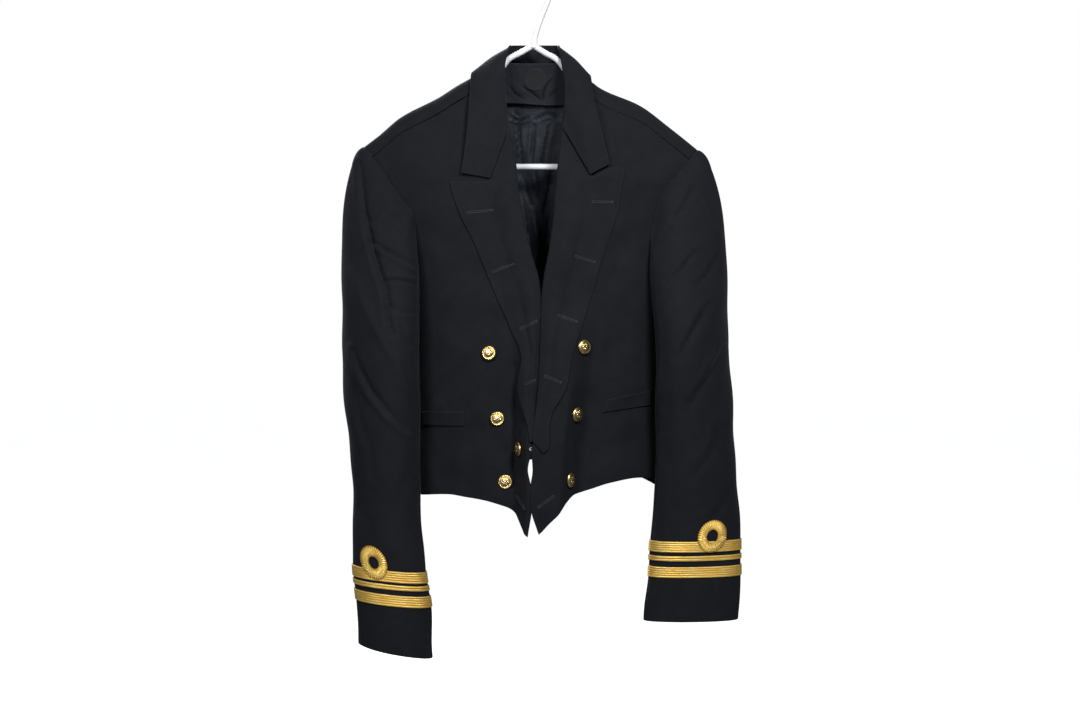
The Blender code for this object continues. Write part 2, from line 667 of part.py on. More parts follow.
def spread(values, at):
    keys = np.linspace(0, 1, len(values))
    return through(keys, values, at)


def sleeves():
    for side, name in ((RIGHT, "sleeve_right"), (LEFT, "sleeve_left")):
        caps = (0, 0.05, 0.13, 0.24, 0.38, 0.54, 0.7, 0.86)
        levels = np.linspace(CAP_END, CUFF[side], 11)
        top = np.linspace(-118, 118, 17)
        under = np.concatenate([np.linspace(119.7, 180, 5), np.linspace(195, 240.3, 4)])
        middle = (side * 200, -30, -600)
        for part, angles in (("top", top), ("under", under)):
            wrapped = np.where(angles > 180, angles - 360, angles)
            grid = sleeve_grid(side, wrapped, caps, levels)
            normal = sleeve_normals(side, wrapped, grid)
            shell(f"{name}_{part}", grid, grid - normal * WALL, "wool")


def sleeve_normals(side, angles, grid):
    """Normals of a sleeve piece, away from the middle of each row's ring."""
    normal = normals(grid, False)
    z = grid[..., 2].mean(axis=1)
    outer = SLEEVE[side].at("outer", z)
    inner = SLEEVE[side].at("inner", z)
    middle = np.stack([(outer + inner) / 2, SLEEVE[side].at("y", z), z], axis=-1)[:, None]
    lean = ((grid - middle) * normal)[8:].sum()
    return normal if lean > 0 else -normal


def lace():
    for side, name in ((RIGHT, "right"), (LEFT, "left")):
        angles = np.linspace(-180, 180, 27)[:-1]
        for part, middle, half in LACE[side]:
            grid = sleeve_grid(side, angles, (), [middle + half, middle - half])
            normal = normals(grid, True)
            centre = grid.mean(axis=(0, 1))
            normal = outward(grid, normal, centre)
            shell(
                f"lace_{name}_{part}", grid + normal * (LACE_GAP + LACE_WALL), grid + normal * LACE_GAP, "gold_lace",
                loop=True,
            )


def sleeve_front(side, x, z):
    """Skin of a sleeve's front at (x, z), below the armpit."""
    rows = SLEEVE[side]
    level = z
    for _ in range(4):
        middle = (rows.at("outer", level) + rows.at("inner", level)) / 2
        level = z - rows.at("tilt", level) * (x - middle)
    half = rows.at("inner", level) - middle
    turn = np.arccos(np.clip((x - middle) / half, -1, 1))
    y = rows.at("y", level) - rows.at("deep", level) * np.sin(turn + np.radians(rows.at("phase", level)))
    return np.stack([x, y, z], axis=-1)


def curls():
    for side, name in ((RIGHT, "right"), (LEFT, "left")):
        row = CURL[side]
        turn = np.arange(24) * 2 * math.pi / 24
        share = np.array([0, 0.5, 1.0])[:, None]
        wide = row["inner"][0] + (row["outer"][0] - row["inner"][0]) * share
        tall = row["inner"][1] + (row["outer"][1] - row["inner"][1]) * share
        z = row["z"] + tall * np.sin(turn)[None, :]
        x = row["x"] + wide * np.cos(turn)[None, :] - row["lean"] * (z - row["z"])
        grid = sleeve_front(side, x, z)
        normal = outward(grid, normals(grid, True), np.array([row["x"], 0, row["z"]]))
        top = LACE[side][0][1] + LACE[side][0][2]
        over = (LACE_WALL + 2.3 * GAP) * smooth(top + 7, top + 1.5, z)
        low = (GAP + over)[..., None]
        shell(f"curl_{name}", grid + normal * (low + LACE_WALL), grid + normal * low, "gold_lace", loop=True)


def buttons():
    r = BUTTON_RADIUS
    profile = (
        (0, GAP), (2.2, GAP), (2.2, 1.6), (r * 0.8, 1.8), (r, 2.7), (r * 0.92, 3.8), (r * 0.62, 5.0), (r * 0.3, 5.8),
        (0, 6.0),
    )
    for name, side, x, z, off in BUTTONS:
        here, facing = front_frame(side, x, z)
        lathe(name, profile, here + facing * off, facing, 12, "gilt")


def link():
    """A wire ring that joins the front edges at the link button."""
    here = front_frame(RIGHT, -3.5, -615.6)[0]
    turn = np.arange(12) * 2 * math.pi / 12
    path = [
        (here[0] + 5.2 + 5.6 * math.cos(a), here[1] - 1.3, -615.6 + 2.4 * math.sin(a)) for a in turn
    ]
    tube("link", path, 0.75, 5, "steel", closed=True)


def welts():
    for side, name in ((RIGHT, "pocket_welt_right"), (LEFT, "pocket_welt_left")):
        outer_top, inner_top, inner_low, outer_low = (np.array(p) for p in WELTS[side])
        f = np.linspace(0, 1, 9)[None, :, None]
        v = np.linspace(0, 1, 3)[:, None, None]
        xz = (inner_low + (outer_low - inner_low) * f) * (1 - v) + (inner_top + (outer_top - inner_top) * f) * v
        cloth(name, on_front(side, xz), (0, 0, -420), "wool", GAP, GAP + 1.8)


def label():
    """Round bare neck label on the back, below the collar."""
    across = np.linspace(-1, 1, 6)[None, :]
    up = np.linspace(-1, 1, 6)[:, None]
    x = LABEL["x"] + LABEL["radius"] * across * np.sqrt(1 - up**2 / 2)
    z = LABEL["z"] + LABEL["radius"] * up * np.sqrt(1 - across**2 / 2)
    y = np.where(x < 0, body_y(RIGHT, BACK, x, z), body_y(LEFT, BACK, x, z))
    grid = np.stack([x, y, z], axis=-1)
    shell("neck_label", grid - np.array([0, WALL + GAP + 1.2, 0]), grid - np.array([0, WALL + GAP + 1.9, 0]), "label")


def hanger():
    arms = [(x, 0, float(ARMS.at("z", x))) for x in (-205, -173, -121, -77, -45, -20, 0, 20, 45, 60, 87, 139, 178, 203)]
    right_end = [(210, 0, -237), (213, 0, -243), (210, 0, -249.5), (203, 0, -252.5)]
    bar = [(x, 0, -253.4) for x in (150, 50, -50, -150)]
    left_end = [(-203, 0, -252.5), (-210, 0, -249.5), (-213, 0, -243), (-210, 0, -236)]
    body_loop = tube("hanger", arms + right_end + bar + left_end, TUBE, 8, "white_plastic", closed=True)
    turn = np.radians(np.linspace(-28, 205, 14))
    hook = [(HOOK_RADIUS * math.cos(a), 0, -20 + HOOK_RADIUS * math.sin(a)) for a in turn]
    shaft = [(1, 0, -99), (1.5, 0, -90), (5, 0, -75), (11, 0, -58), (17.5, 0, -42)]
    neck = tube("hook", shaft + hook, [2.6, 3.6] + [TUBE] * 17, 9, "white_plastic")
    join = body_loop.modifiers.new("hook", "BOOLEAN")
    join.operation = "UNION"
    join.solver = "EXACT"
    join.object = neck
    neck.hide_render = True
    bpy.context.view_layer.update()
    graph = bpy.context.evaluated_depsgraph_get()
    joined = bpy.data.meshes.new_from_object(body_loop.evaluated_get(graph))
    body_loop.modifiers.clear()
    body_loop.data = joined
    bpy.data.objects.remove(neck)


def main():
    clear_scene()
    body()
    lapels()
    collar()
    sleeves()
    lace()
    curls()
    welts()
    label()
    buttons()
    link()
    hanger()


main()
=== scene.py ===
"""A mess jacket on a plastic hanger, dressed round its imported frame.

The tables are in millimetres: +X to the right as seen from the front, -Y to the front, +Z up, and zero is
inside the top of the hook. Sides are the wearer's: RIGHT is at -X. The meshes are in metres.
"""

import math

import bpy
import numpy as np
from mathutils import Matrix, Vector
from mathutils.bvhtree import BVHTree


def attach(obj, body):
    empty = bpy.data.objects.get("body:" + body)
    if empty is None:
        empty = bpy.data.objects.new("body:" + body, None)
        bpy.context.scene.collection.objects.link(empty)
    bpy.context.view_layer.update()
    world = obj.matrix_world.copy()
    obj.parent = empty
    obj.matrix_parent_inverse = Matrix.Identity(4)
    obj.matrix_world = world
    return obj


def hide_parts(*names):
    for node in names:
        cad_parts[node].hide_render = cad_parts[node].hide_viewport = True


bl_info = {
    "name": "Mess jacket",
    "version": (1, 0, 0),
    "blender": (4, 5, 0),
    "location": "View3D > Sidebar > Jacket",
    "description": "Builds a mess jacket that hangs on a plastic hanger",
    "category": "Object",
}

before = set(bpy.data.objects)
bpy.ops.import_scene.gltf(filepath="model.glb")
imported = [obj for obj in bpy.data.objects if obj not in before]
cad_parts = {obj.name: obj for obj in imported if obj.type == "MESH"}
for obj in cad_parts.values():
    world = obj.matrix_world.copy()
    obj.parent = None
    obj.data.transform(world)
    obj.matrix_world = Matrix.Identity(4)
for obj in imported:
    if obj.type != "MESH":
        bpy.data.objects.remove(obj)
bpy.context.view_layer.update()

MM = 0.001
RIGHT = -1
LEFT = 1
FRONT = -1
BACK = 1
SIDES = ((RIGHT, "right"), (LEFT, "left"))


# Tables

def through(xs, ys, at):
    """Smooth monotone curve through (xs, ys), held at its ends."""
    at = np.clip(at, xs[0], xs[-1])
    step = np.diff(xs)
    slope = np.diff(ys) / step
    tangent = np.zeros_like(ys)
    same = slope[:-1] * slope[1:] > 0
    before = np.where(same, slope[:-1], 1.0)
    after = np.where(same, slope[1:], 1.0)
    one = 2 * step[1:] + step[:-1]
    two = step[1:] + 2 * step[:-1]
    tangent[1:-1] = np.where(same, (one + two) / (one / before + two / after), 0)
    tangent[0] = slope[0]
    tangent[-1] = slope[-1]
    i = np.clip(np.searchsorted(xs, at, side="right") - 1, 0, len(step) - 1)
    s = (at - xs[i]) / step[i]
    return (
        ys[i] * (1 + 2 * s) * (1 - s) ** 2
        + step[i] * tangent[i] * s * (1 - s) ** 2
        + ys[i + 1] * s * s * (3 - 2 * s)
        + step[i] * tangent[i + 1] * s * s * (s - 1)
    )


class Table:
    """Short rows with named columns, read at any value of the first column."""

    def __init__(self, columns, *rows):
        self.names = columns.split()
        self.data = np.array(sorted(rows), float).T

    def at(self, column, key):
        return through(self.data[0], self.data[self.names.index(column)], np.asarray(key, float))


# Top line of the shoulders
RIDGE = Table(
    "x z",
    (-240, -246), (-227, -234), (-199, -212), (-173, -190), (-121, -162.6), (-100, -149), (-77, -136),
    (-60, -126), (-45, -115), (0, -96), (45, -115), (60, -128), (73, -140), (87, -151), (139, -174),
    (178, -203), (217, -234), (240, -252),
)

# Half widths and depths of the body
BODY = {
    RIGHT: Table(
        "z front_width back_width front_depth back_depth",
        (-760, 149.5, 149.5, 64, 42), (-671, 149.5, 149.5, 64, 44), (-520, 149.5, 149.5, 66, 46),
        (-480, 150.5, 151, 65, 47), (-455, 152, 152.2, 64, 48), (-400, 159, 185, 61, 50),
        (-345, 170, 212, 57, 50), (-316, 182, 225, 55, 50), (-240, 232, 240, 46, 42),
        (-150, 245, 245, 40, 34), (-80, 250, 250, 36, 30),
    ),
    LEFT: Table(
        "z front_width back_width front_depth back_depth",
        (-760, 162, 162, 64, 42), (-671, 162, 162, 64, 44), (-520, 161.5, 161.5, 66, 46),
        (-480, 161.5, 162, 65, 47), (-455, 163, 163.2, 64, 48), (-400, 168, 190, 61, 50),
        (-345, 174, 212, 57, 50), (-316, 182, 225, 55, 50), (-240, 228, 238, 46, 42),
        (-150, 245, 245, 40, 34), (-80, 250, 250, 36, 30),
    ),
}

# Section of the body: how square it is, how far down the shoulders round off and how they do, and how far
# the shoulder seam lies in front of the ridge
ROUND = 2.6
SHOULDER_REACH = 120.0
SHOULDER_BEND = 2.2
SHOULDER_ROUND = 0.5556
SEAM_DROP = 23.0

# Armhole seams: 0 is the top of the shoulder, 180 the armpit; drop is measured from the ridge
ARMHOLE = {
    RIGHT: Table(
        "angle x drop",
        (-180, -152, 278), (-150, -161, 240), (-120, -176, 190), (-95, -186, 140), (-70, -195, 95),
        (-45, -203, 50), (-28, -209, 24), (-12, -215, 8), (0, -219, 0), (12, -214.5, 8), (28, -207, 24),
        (45, -193.7, 52), (62, -179.4, 87), (80, -165, 117), (95, -153.4, 138), (115, -150.4, 165),
        (140, -150, 215), (160, -151, 252), (180, -152, 278),
    ),
    LEFT: Table(
        "angle x drop",
        (-180, 163, 268), (-150, 170, 236), (-120, 180, 190), (-95, 187, 140), (-70, 193, 95),
        (-45, 199, 50), (-28, 204, 24), (-12, 210, 8), (0, 214, 0), (12, 209, 8), (28, 202, 24),
        (45, 190, 48), (62, 176, 75), (80, 164, 104), (95, 156.5, 134), (115, 151.5, 168),
        (140, 153.5, 210), (160, 160, 246), (180, 163, 268),
    ),
}

# How the sleeve leaves the armhole: outwards, forwards, down
LEAVING = Table(
    "angle out fore down",
    (-180, 24, 0, 40), (-165, 48, -8, 40), (-150, 62, -20, 35), (-120, 62, -45, 50), (-95, 52, -60, 70),
    (-45, 70, -50, 60), (0, 110, 0, 30), (45, 70, 60, 60), (95, 16, 75, 60), (120, -10, 66, 50),
    (145, -18, 58, 40), (165, -6, 40, 40), (180, 24, 0, 40),
)

# Rings of the sleeves below the armpit
SLEEVE = {
    RIGHT: Table(
        "z outer inner y deep phase tilt",
        (-872, -221.2, -125.6, -64, 37, 6, -0.17), (-814, -224.6, -129.8, -60, 39, 8, -0.1),
        (-764, -229.6, -135, -55, 42, 10, -0.09), (-707, -229.3, -141.5, -49, 46, 12, -0.07),
        (-638, -234, -143, -43, 54, 15, -0.04), (-575, -241, -143.4, -38, 62, 18, -0.02),
        (-517, -246, -143.8, -33, 68, 20, 0), (-487, -247.5, -144, -30, 70, 22, 0),
    ),
    LEFT: Table(
        "z outer inner y deep phase tilt",
        (-833, 260.9, 141, -64, 25, 5, 0.01), (-797, 263.6, 144.3, -60, 29, 6, 0.01),
        (-760, 264.6, 147, -55, 34, 8, 0.01), (-711, 264, 151.1, -49, 40, 10, 0.01),
        (-644, 261, 155.4, -44, 50, 14, 0), (-585, 258.3, 156, -38, 58, 17, 0),
        (-527, 255.5, 155.6, -33, 66, 20, 0), (-487, 253.5, 155.4, -30, 70, 22, 0),
    ),
}
CAP_END = -487.0
CUFF = {RIGHT: -872.0, LEFT: -833.0}

# The seams of the under piece, in degrees from the top of the shoulder, and the fullness eased in at the cap
SLEEVE_SEAM = 133.0
CAP_EASE = 1.4

# Mesh lines of a sleeve: down its cap, down to its cuff, round its top piece and its under piece
CAP_LINES = 105
CUFF_LINES = 138
TOP_LINES = 118
UNDER_LINES = 28

# Front edges, from the tip of the hem up the roll of the lapel to the shoulder seam beside the neck
EDGE = {
    RIGHT: (
        (-6.2, -726.4), (-4.7, -717), (-2.6, -692), (-3.5, -663), (-6.5, -642), (-2.8, -616), (-1.2, -604),
        (1.8, -567), (5.6, -530), (8.1, -479), (9.2, -429), (8, -410), (-0.8, -371.6), (-9, -333),
        (-16.5, -295), (-22, -256), (-31.5, -213), (-40, -187), (-52, -172), (-75, -159.5),
    ),
    LEFT: (
        (7.4, -722.8), (4.8, -715), (0.6, -692), (-0.4, -663), (1, -642), (1.4, -616), (2.6, -604),
        (5.7, -567), (9.5, -530), (12, -479), (13.4, -429), (15.3, -403), (20, -365), (25, -327),
        (29, -288), (32.6, -256), (39, -211), (47, -187), (56, -173), (75, -165.5),
    ),
}

# Where the front edges meet, each comes over to the other: how far at a height
MEET = Table(
    "z right left",
    (-735, 0, 0), (-706, 0, 0), (-694, 1.4, -2.4), (-664, 1.4, -2.4), (-648, 0.6, -1.2), (-636, 0.6, -1.2),
    (-622, 1.5, -3.0), (-560, 1.5, -3.2), (-450, 1.5, -3.4), (-412, 1.4, -3.2), (-385, 0, 0), (-150, 0, 0),
)

# Hems of the fronts, from the tip to the side
HEM = {
    RIGHT: (
        (-6.2, -726.4), (-10.5, -723.5), (-14, -716), (-17.9, -707.8), (-22.6, -698.4), (-28, -693.3),
        (-40.4, -688.4), (-62, -682.4), (-86.2, -678.4), (-107.9, -675.4), (-149.4, -678),
    ),
    LEFT: (
        (7.4, -722.8), (9.9, -720.9), (20.6, -709.6), (33.9, -696.5), (42.4, -684.3), (52.1, -675.3),
        (58.5, -672.7), (74.3, -667.9), (98.7, -660.6), (135.5, -654.9), (161.9, -657),
    ),
}

# The front edges stand forward of the body: how far, and where the step is
FORWARD = {
    RIGHT: Table(
        "z reach near far",
        (-727, 30, -8, -26), (-697, 32, -7, -25), (-655, 33, -6.5, -24), (-616, 33, -7, -25),
        (-567, 27, -5, -26), (-527, 19, -4, -26), (-477, 8, -2, -28), (-427, 0, -2, -30),
        (-107, 0, -10, -40),
    ),
    LEFT: Table(
        "z reach near far",
        (-727, 33, 32, 58), (-697, 34.6, 32, 58), (-655, 34.8, 33, 60), (-616, 35, 36, 64),
        (-573, 30, 40, 68), (-527, 21, 46, 74), (-487, 13, 50, 80), (-427, 0, 60, 90), (-107, 0, 60, 90),
    ),
}

# Outer edges of the lapels, from the link up to the peak, and their top edges
LAPEL_EDGE = {
    RIGHT: (
        (-4.5, -607), (-7, -580), (-12, -556), (-14.2, -539), (-13.2, -525), (-11.4, -507), (-16, -488),
        (-24, -473), (-35.5, -448), (-47, -423), (-61, -388), (-76, -352.5), (-92.5, -319), (-102.5, -291.5),
        (-106.2, -277.6),
    ),
    LEFT: (
        (13, -621), (18.5, -616.5), (21.5, -605), (20.8, -588), (24.5, -570), (33.5, -556), (43, -535),
        (48.1, -503), (57.8, -472), (72, -429), (85.8, -381.5), (95.6, -351), (108, -314), (113.5, -282.5),
        (116.3, -268), (116.5, -261),
    ),
}
LAPEL_TOP = {
    RIGHT: (
        (-31.5, -213), (-42.2, -242.5), (-52.4, -271), (-53.6, -275), (-57, -276.8), (-84, -277.6),
        (-106.2, -277.6),
    ),
    LEFT: (
        (39, -211), (49, -228.6), (61, -249.6), (70, -265.6), (72.2, -270), (75.5, -271), (92.6, -263.2),
        (108, -258.2), (116.5, -261),
    ),
}

# How far the lapels' lower edges stand off, and where their roll begins and ends
LOOSE_EDGE = {RIGHT: 4.0, LEFT: 1.6}
LAPEL_LOW = -607.0
LAPEL_HIGH = -205.0

# Collar sections from the right gorge round the neck to the left gorge: base of the stand, crease, middle
# and edge of the fall
COLLAR = (
    ((-30, -37.5, -208.5), (-31, -49, -208.5), (-54.8, -54, -273.5), (-92, -52, -266.5)),
    ((-32.5, -34, -186), (-34.5, -43, -184), (-58, -54, -218), (-87, -53, -236)),
    ((-35.5, -25, -159), (-36, -32, -155), (-60, -48, -178), (-83, -48, -197)),
    ((-37.5, -13, -136), (-35.8, -18, -126), (-59, -32, -142), (-82, -30, -163)),
    ((-38.5, -2, -112), (-30.5, -4, -99.5), (-57, -6, -114.5), (-80, -6, -132)),
    ((-33, 15, -112), (-27, 16, -93), (-50, 22, -106), (-72, 26, -134)),
    ((-17, 25.5, -114), (-14, 27, -91), (-24, 38, -99), (-40, 46, -136)),
    ((3, 28, -115), (3, 30, -90.5), (3, 42, -98), (3, 50, -138)),
    ((22, 25.5, -114), (19, 27, -91), (28, 38, -99), (44, 46, -138)),
    ((38, 15, -112), (32, 16, -93), (52, 22, -108), (72, 26, -138)),
    ((42, -2, -112), (33, -4, -100), (57, -6, -117), (75, -6, -136)),
    ((43, -13, -136), (37.2, -18, -127), (60, -32, -146), (78, -30, -165)),
    ((42.5, -25, -159), (40.8, -32, -155), (64, -48, -180), (84, -48, -195)),
    ((38.5, -34, -186), (40.5, -43, -184), (66, -54, -216), (92, -53, -232)),
    ((37.5, -38, -208), (38.5, -49, -208), (73.2, -54, -268.5), (98.6, -52, -255)),
)

# Folds: side, half width, depth, lip, then the points that the fold runs through. A ridge has a depth below
# zero. The lip is the fuller cloth beside a fold: on the right of its run where it is above zero
SLEEVE_FOLDS = (
    (
        RIGHT, 4.0, 7.2, 0.3, (-223, -252), (-216.5, -311), (-206, -352), (-196, -386), (-184, -416),
        (-181, -446), (-176, -472),
    ),
    (RIGHT, 5.0, -2.6, 0.0, (-230, -392), (-203, -453), (-179, -497), (-167, -516)),
    (RIGHT, 3.6, 3.6, 0.7, (-226, -492), (-216, -518), (-202, -544), (-180, -570), (-157, -592)),
    (RIGHT, 3.0, 3.2, 0.7, (-206, -352), (-184, -366), (-162, -378), (-142, -390)),
    (RIGHT, 2.4, 2.4, -0.6, (-191, -404), (-168, -404), (-142, -409)),
    (RIGHT, 3.0, 1.9, 0.6, (-182, -434), (-168, -443), (-152, -446)),
    (RIGHT, 3.6, 2.0, 0.5, (-179, -436), (-166, -456), (-152, -486)),
    (RIGHT, 3.0, 2.0, 0.5, (-202, -296), (-192, -287), (-180, -283)),
    (RIGHT, 3.4, 1.7, 0.5, (-213, -322), (-200, -330), (-182, -332)),
    (RIGHT, 3.2, 1.3, 0.5, (-196, -310), (-178, -312), (-166, -322)),
    (RIGHT, 5.0, 2.0, 0.4, (-224, -540), (-219, -575), (-204, -616), (-200, -650)),
    (RIGHT, 3.6, 1.8, 0.5, (-160, -508), (-154, -530), (-148, -560)),
    (RIGHT, 7.0, 1.5, 0.3, (-150, -640), (-166, -676), (-178, -706)),
    (RIGHT, 6.0, 1.2, 0.3, (-216, -690), (-200, -726)),
    (LEFT, 4.0, 2.4, 0.6, (204, -288), (188, -316), (166, -345)),
    (LEFT, 3.6, 2.2, 0.6, (206, -368), (186, -392), (168, -408)),
    (LEFT, 4.0, 2.0, 0.5, (236, -374), (222, -396), (208, -410)),
    (LEFT, 4.6, 2.8, 0.6, (220, -436), (198, -474), (182, -504)),
    (LEFT, 4.6, 2.8, 0.6, (244, -490), (218, -530), (198, -558)),
    (LEFT, 3.8, 1.8, 0.5, (180, -512), (170, -540), (166, -566)),
    (LEFT, 4.0, 1.6, 0.5, (214, -300), (236, -330)),
    (LEFT, 6.0, 1.8, 0.4, (238, -590), (222, -626), (200, -650)),
    (LEFT, 6.0, 1.5, 0.3, (252, -668), (236, -694), (214, -712)),
    (LEFT, 5.0, 1.4, 0.4, (166, -610), (176, -650), (172, -690)),
)
BODY_FOLDS = (
    (RIGHT, 6.0, -1.3, 0.0, (-184, -274), (-170, -296), (-161, -310)),
    (RIGHT, 9.0, 2.4, 0.5, (-84, -510), (-98, -532), (-112, -550)),
    (RIGHT, 9.0, 2.4, 0.3, (-76, -596), (-78, -664)),
    (RIGHT, 2.8, 6.0, 0.0, (-22, -512), (-21.5, -560), (-21.5, -590), (-25, -664)),
    (RIGHT, 4.0, 1.5, 0.3, (-30, -455), (-27, -500), (-28, -545)),
    (RIGHT, 16.0, 1.3, 0.0, (-100, -330), (-120, -430)),
    (RIGHT, 13.0, 1.4, 0.2, (-128, -440), (-118, -520)),
    (RIGHT, 12.0, 1.8, 0.3, (-112, -598), (-117, -676)),
    (RIGHT, 8.0, 1.0, 0.3, (-60, -520), (-56, -560)),
    (RIGHT, 8.0, 1.2, 0.4, (-146, -590), (-128, -618), (-120, -650)),
    (LEFT, 4.0, 2.4, -0.4, (52, -566), (51, -600), (53, -636)),
    (LEFT, 18.0, 1.4, 0.0, (92, -420), (108, -500)),
    (LEFT, 18.0, 1.2, 0.0, (130, -330), (118, -410)),
    (LEFT, 13.0, 1.5, 0.3, (126, -576), (120, -652)),
    (LEFT, 11.0, 1.3, 0.3, (84, -586), (80, -656)),
    (LEFT, 9.0, 1.0, 0.3, (148, -440), (138, -520)),
)
LINING_FOLDS = (
    (0, 1.5, 3.6, 0.5, (-19, -196), (-17, -224), (-14, -252)),
    (0, 1.5, 3.6, 0.5, (21, -196), (15, -226), (10, -254)),
    (0, 1.7, 3.6, 0.5, (-17, -256), (-9, -280), (0, -304)),
    (0, 1.7, 3.6, 0.5, (25, -254), (20, -280), (15, -306)),
    (0, 1.6, 3.6, 0.6, (-30, -186), (-16, -190), (-6, -186)),
    (0, 1.4, 3.0, 0.5, (-26, -177), (-18, -185)),
    (0, 1.8, 3.4, 0.4, (4, -188), (22, -180), (34, -188)),
    (0, 1.9, 3.6, 0.5, (2, -308), (8, -340), (6, -390)),
    (0, 1.9, 3.2, 0.4, (-14, -300), (-4, -350), (-6, -430)),
    (0, 1.9, 3.0, 0.4, (20, -320), (13, -380)),
    (0, 2.4, 2.6, 0.5, (2, -196), (0, -222), (-3, -250)),
    (0, 1.5, 2.4, 0.4, (2, -258), (6, -276), (4, -292)),
)
FACING_FOLDS = (
    (0, 1.5, 5.4, 0.3, (-14, -147), (2, -157), (10, -165)),
    (0, 1.4, 4.4, 0.4, (24, -138), (15, -150), (12, -166)),
    (0, 1.7, 3.4, 0.4, (-34, -143), (-24, -156), (-10, -164)),
    (0, 1.3, 1.8, -0.3, (-22, -124), (-21, -142)),
    (0, 1.8, 2.0, 0.4, (34, -150), (22, -160)),
    (0, 1.6, 1.6, 0.3, (-32, -128), (-30, -140)),
)

# The inside of the back. Its lining runs from low to high, no deeper in its folds than the back allows
LINING = {"low": -636, "high": -132, "off": 6.0, "deepest": 3.6}
FACING = {"side": -70, "width": 143, "top": -118, "low": -170, "off": 11.6}
LABEL = {"x": 3.3, "z": -138.0, "radius": 14.0}

# Mesh lines of the smaller pieces: rows, height in millimetres, columns, width in millimetres
LINES = {
    "lining": (130, 470, 84, 360), "facing": (26, 50, 76, 140), "label": (24, 28, 24, 28),
    "welt": (14, 18, 46, 58),
}

# Buttons: node, side, x, z, distance off the curved cloth
BUTTONS = (
    ("button_right_upper", RIGHT, -55.5, -495.7, 0.05), ("button_right_middle", RIGHT, -44.8, -578.7, 0.05),
    ("button_right_lower", RIGHT, -34.8, -658.6, 0.6), ("button_left_upper", LEFT, 64.3, -488.2, 0.6),
    ("button_left_middle", LEFT, 54.6, -573, 0.7), ("button_left_lower", LEFT, 46.5, -655.1, 0.2),
    ("link_button", RIGHT, -16.5, -616.2, 0.6),
)

# A button: its edge, where its dome ends, the middles of its rope and of its fine line, the heights of its
# dome and its rim, the petals of its rosette and the strands of its rope
BUTTON = {
    "edge": 9.4, "end": 8.35, "rope": 7.75, "line": 6.2, "high": 4.6, "rim": 2.85, "petals": 4, "strands": 34,
    "sides": 120,
}

# The link's ring: place in the gap, half its width and height, and the thickness of its wire
LINK = {"x": -3.5, "z": -615.6, "aside": 5.2, "ahead": 1.3, "wide": 5.6, "tall": 2.4, "wire": 0.75}

# Buttonholes: from the end nearest the edge to the bar tack, x and z at both ends
BUTTONHOLES = {
    RIGHT: (
        (-83.7, -317.5, -50.7, -314.4), (-51.7, -393.1, -23.8, -382.9), (-16.1, -465.4, 5.3, -455.4),
        (-9.7, -534.6, 3.4, -529.6), (-21.1, -675.8, -9.8, -691.6),
    ),
    LEFT: (
        (75.2, -303.6, 101.9, -303.6), (53.4, -372.8, 78.8, -380.4), (31.8, -447.8, 55.8, -456.6),
        (14.5, -524.0, 35.0, -533.0), (6.6, -688.9, 26.6, -674.0),
    ),
}

# Pocket welts: corners at the outer top, inner top, inner bottom, outer bottom
WELTS = {
    RIGHT: ((-141, -570.2), (-86.3, -569.5), (-87.6, -588.3), (-141, -588)),
    LEFT: ((150, -543.5), (94.3, -554.2), (88.4, -571), (150, -562.5)),
}

# Gold lace of the cuffs: name, middle height at the sleeve's centre, half width, ribs
LACE = {
    RIGHT: (("upper", -774.6, 7.2, 5), ("middle", -787.9, 3.3, 2), ("lower", -804.6, 7.2, 5)),
    LEFT: (("upper", -738.8, 6.9, 5), ("middle", -753.4, 3.3, 2), ("lower", -770.6, 6.9, 5)),
}

# Curls above the upper lace: their middle, the half width and half height of their outline and of their eye,
# how far they lean, and the pleats in which the lace is turned
CURL = {
    RIGHT: {"x": -198.7, "z": -758.0, "outer": (16.4, 20.4), "inner": (6.4, 7.6), "lean": 0.26},
    LEFT: {"x": 225.0, "z": -725.6, "outer": (18.0, 19.6), "inner": (7.2, 8.2), "lean": -0.15},
}

CURL_PLEATS = 20

# Hanger: its tube, and the hook's radius and middle
TUBE = 3.9
HOOK_RADIUS = 24.0
HOOK_MIDDLE = -20.0
ARMS = Table(
    "x z",
    (-212, -239), (-205, -232), (-173, -205), (-121, -173), (-77, -150.5), (-60, -141.5), (-45, -130.5),
    (-31, -113), (-16, -105), (-3, -97.8), (0, -96.5), (3, -97.8), (16, -105.5), (31, -114), (45, -131),
    (60, -145), (73, -155.2), (87, -165), (139, -185), (178, -213), (203, -233), (212, -241),
)
RIGHT_BEND = ((210, -237), (213, -243), (210, -249.5), (203, -252.5))
LEFT_BEND = ((-203, -252.5), (-210, -249.5), (-213, -243), (-210, -236))
BAR = -253.4
SHAFT = ((1, -99), (1.5, -90), (5, -75), (11, -58), (17.5, -42))

# The camera stands level in front of the jacket
CAMERA = {"x": 9.1, "distance": 2400.0, "z": -504.5, "across": 1404.0}
FLOOR = -1240.0

# Lights: name, place and aim in metres, size, share of the power
LIGHTS = (
    ("key", (0.5, -1.35, 0.5), (0.0, 0.0, -0.35), 0.45, 1.0),
    ("fill", (-0.9, -1.8, 0.3), (0.0, 0.0, -0.5), 0.8, 0.9),
    ("rim", (-0.8, 1.9, 0.9), (0.0, 0.0, -0.4), 1.4, 2.2),
)
AROUND = 0.14


# Sizes and colours that a user would change

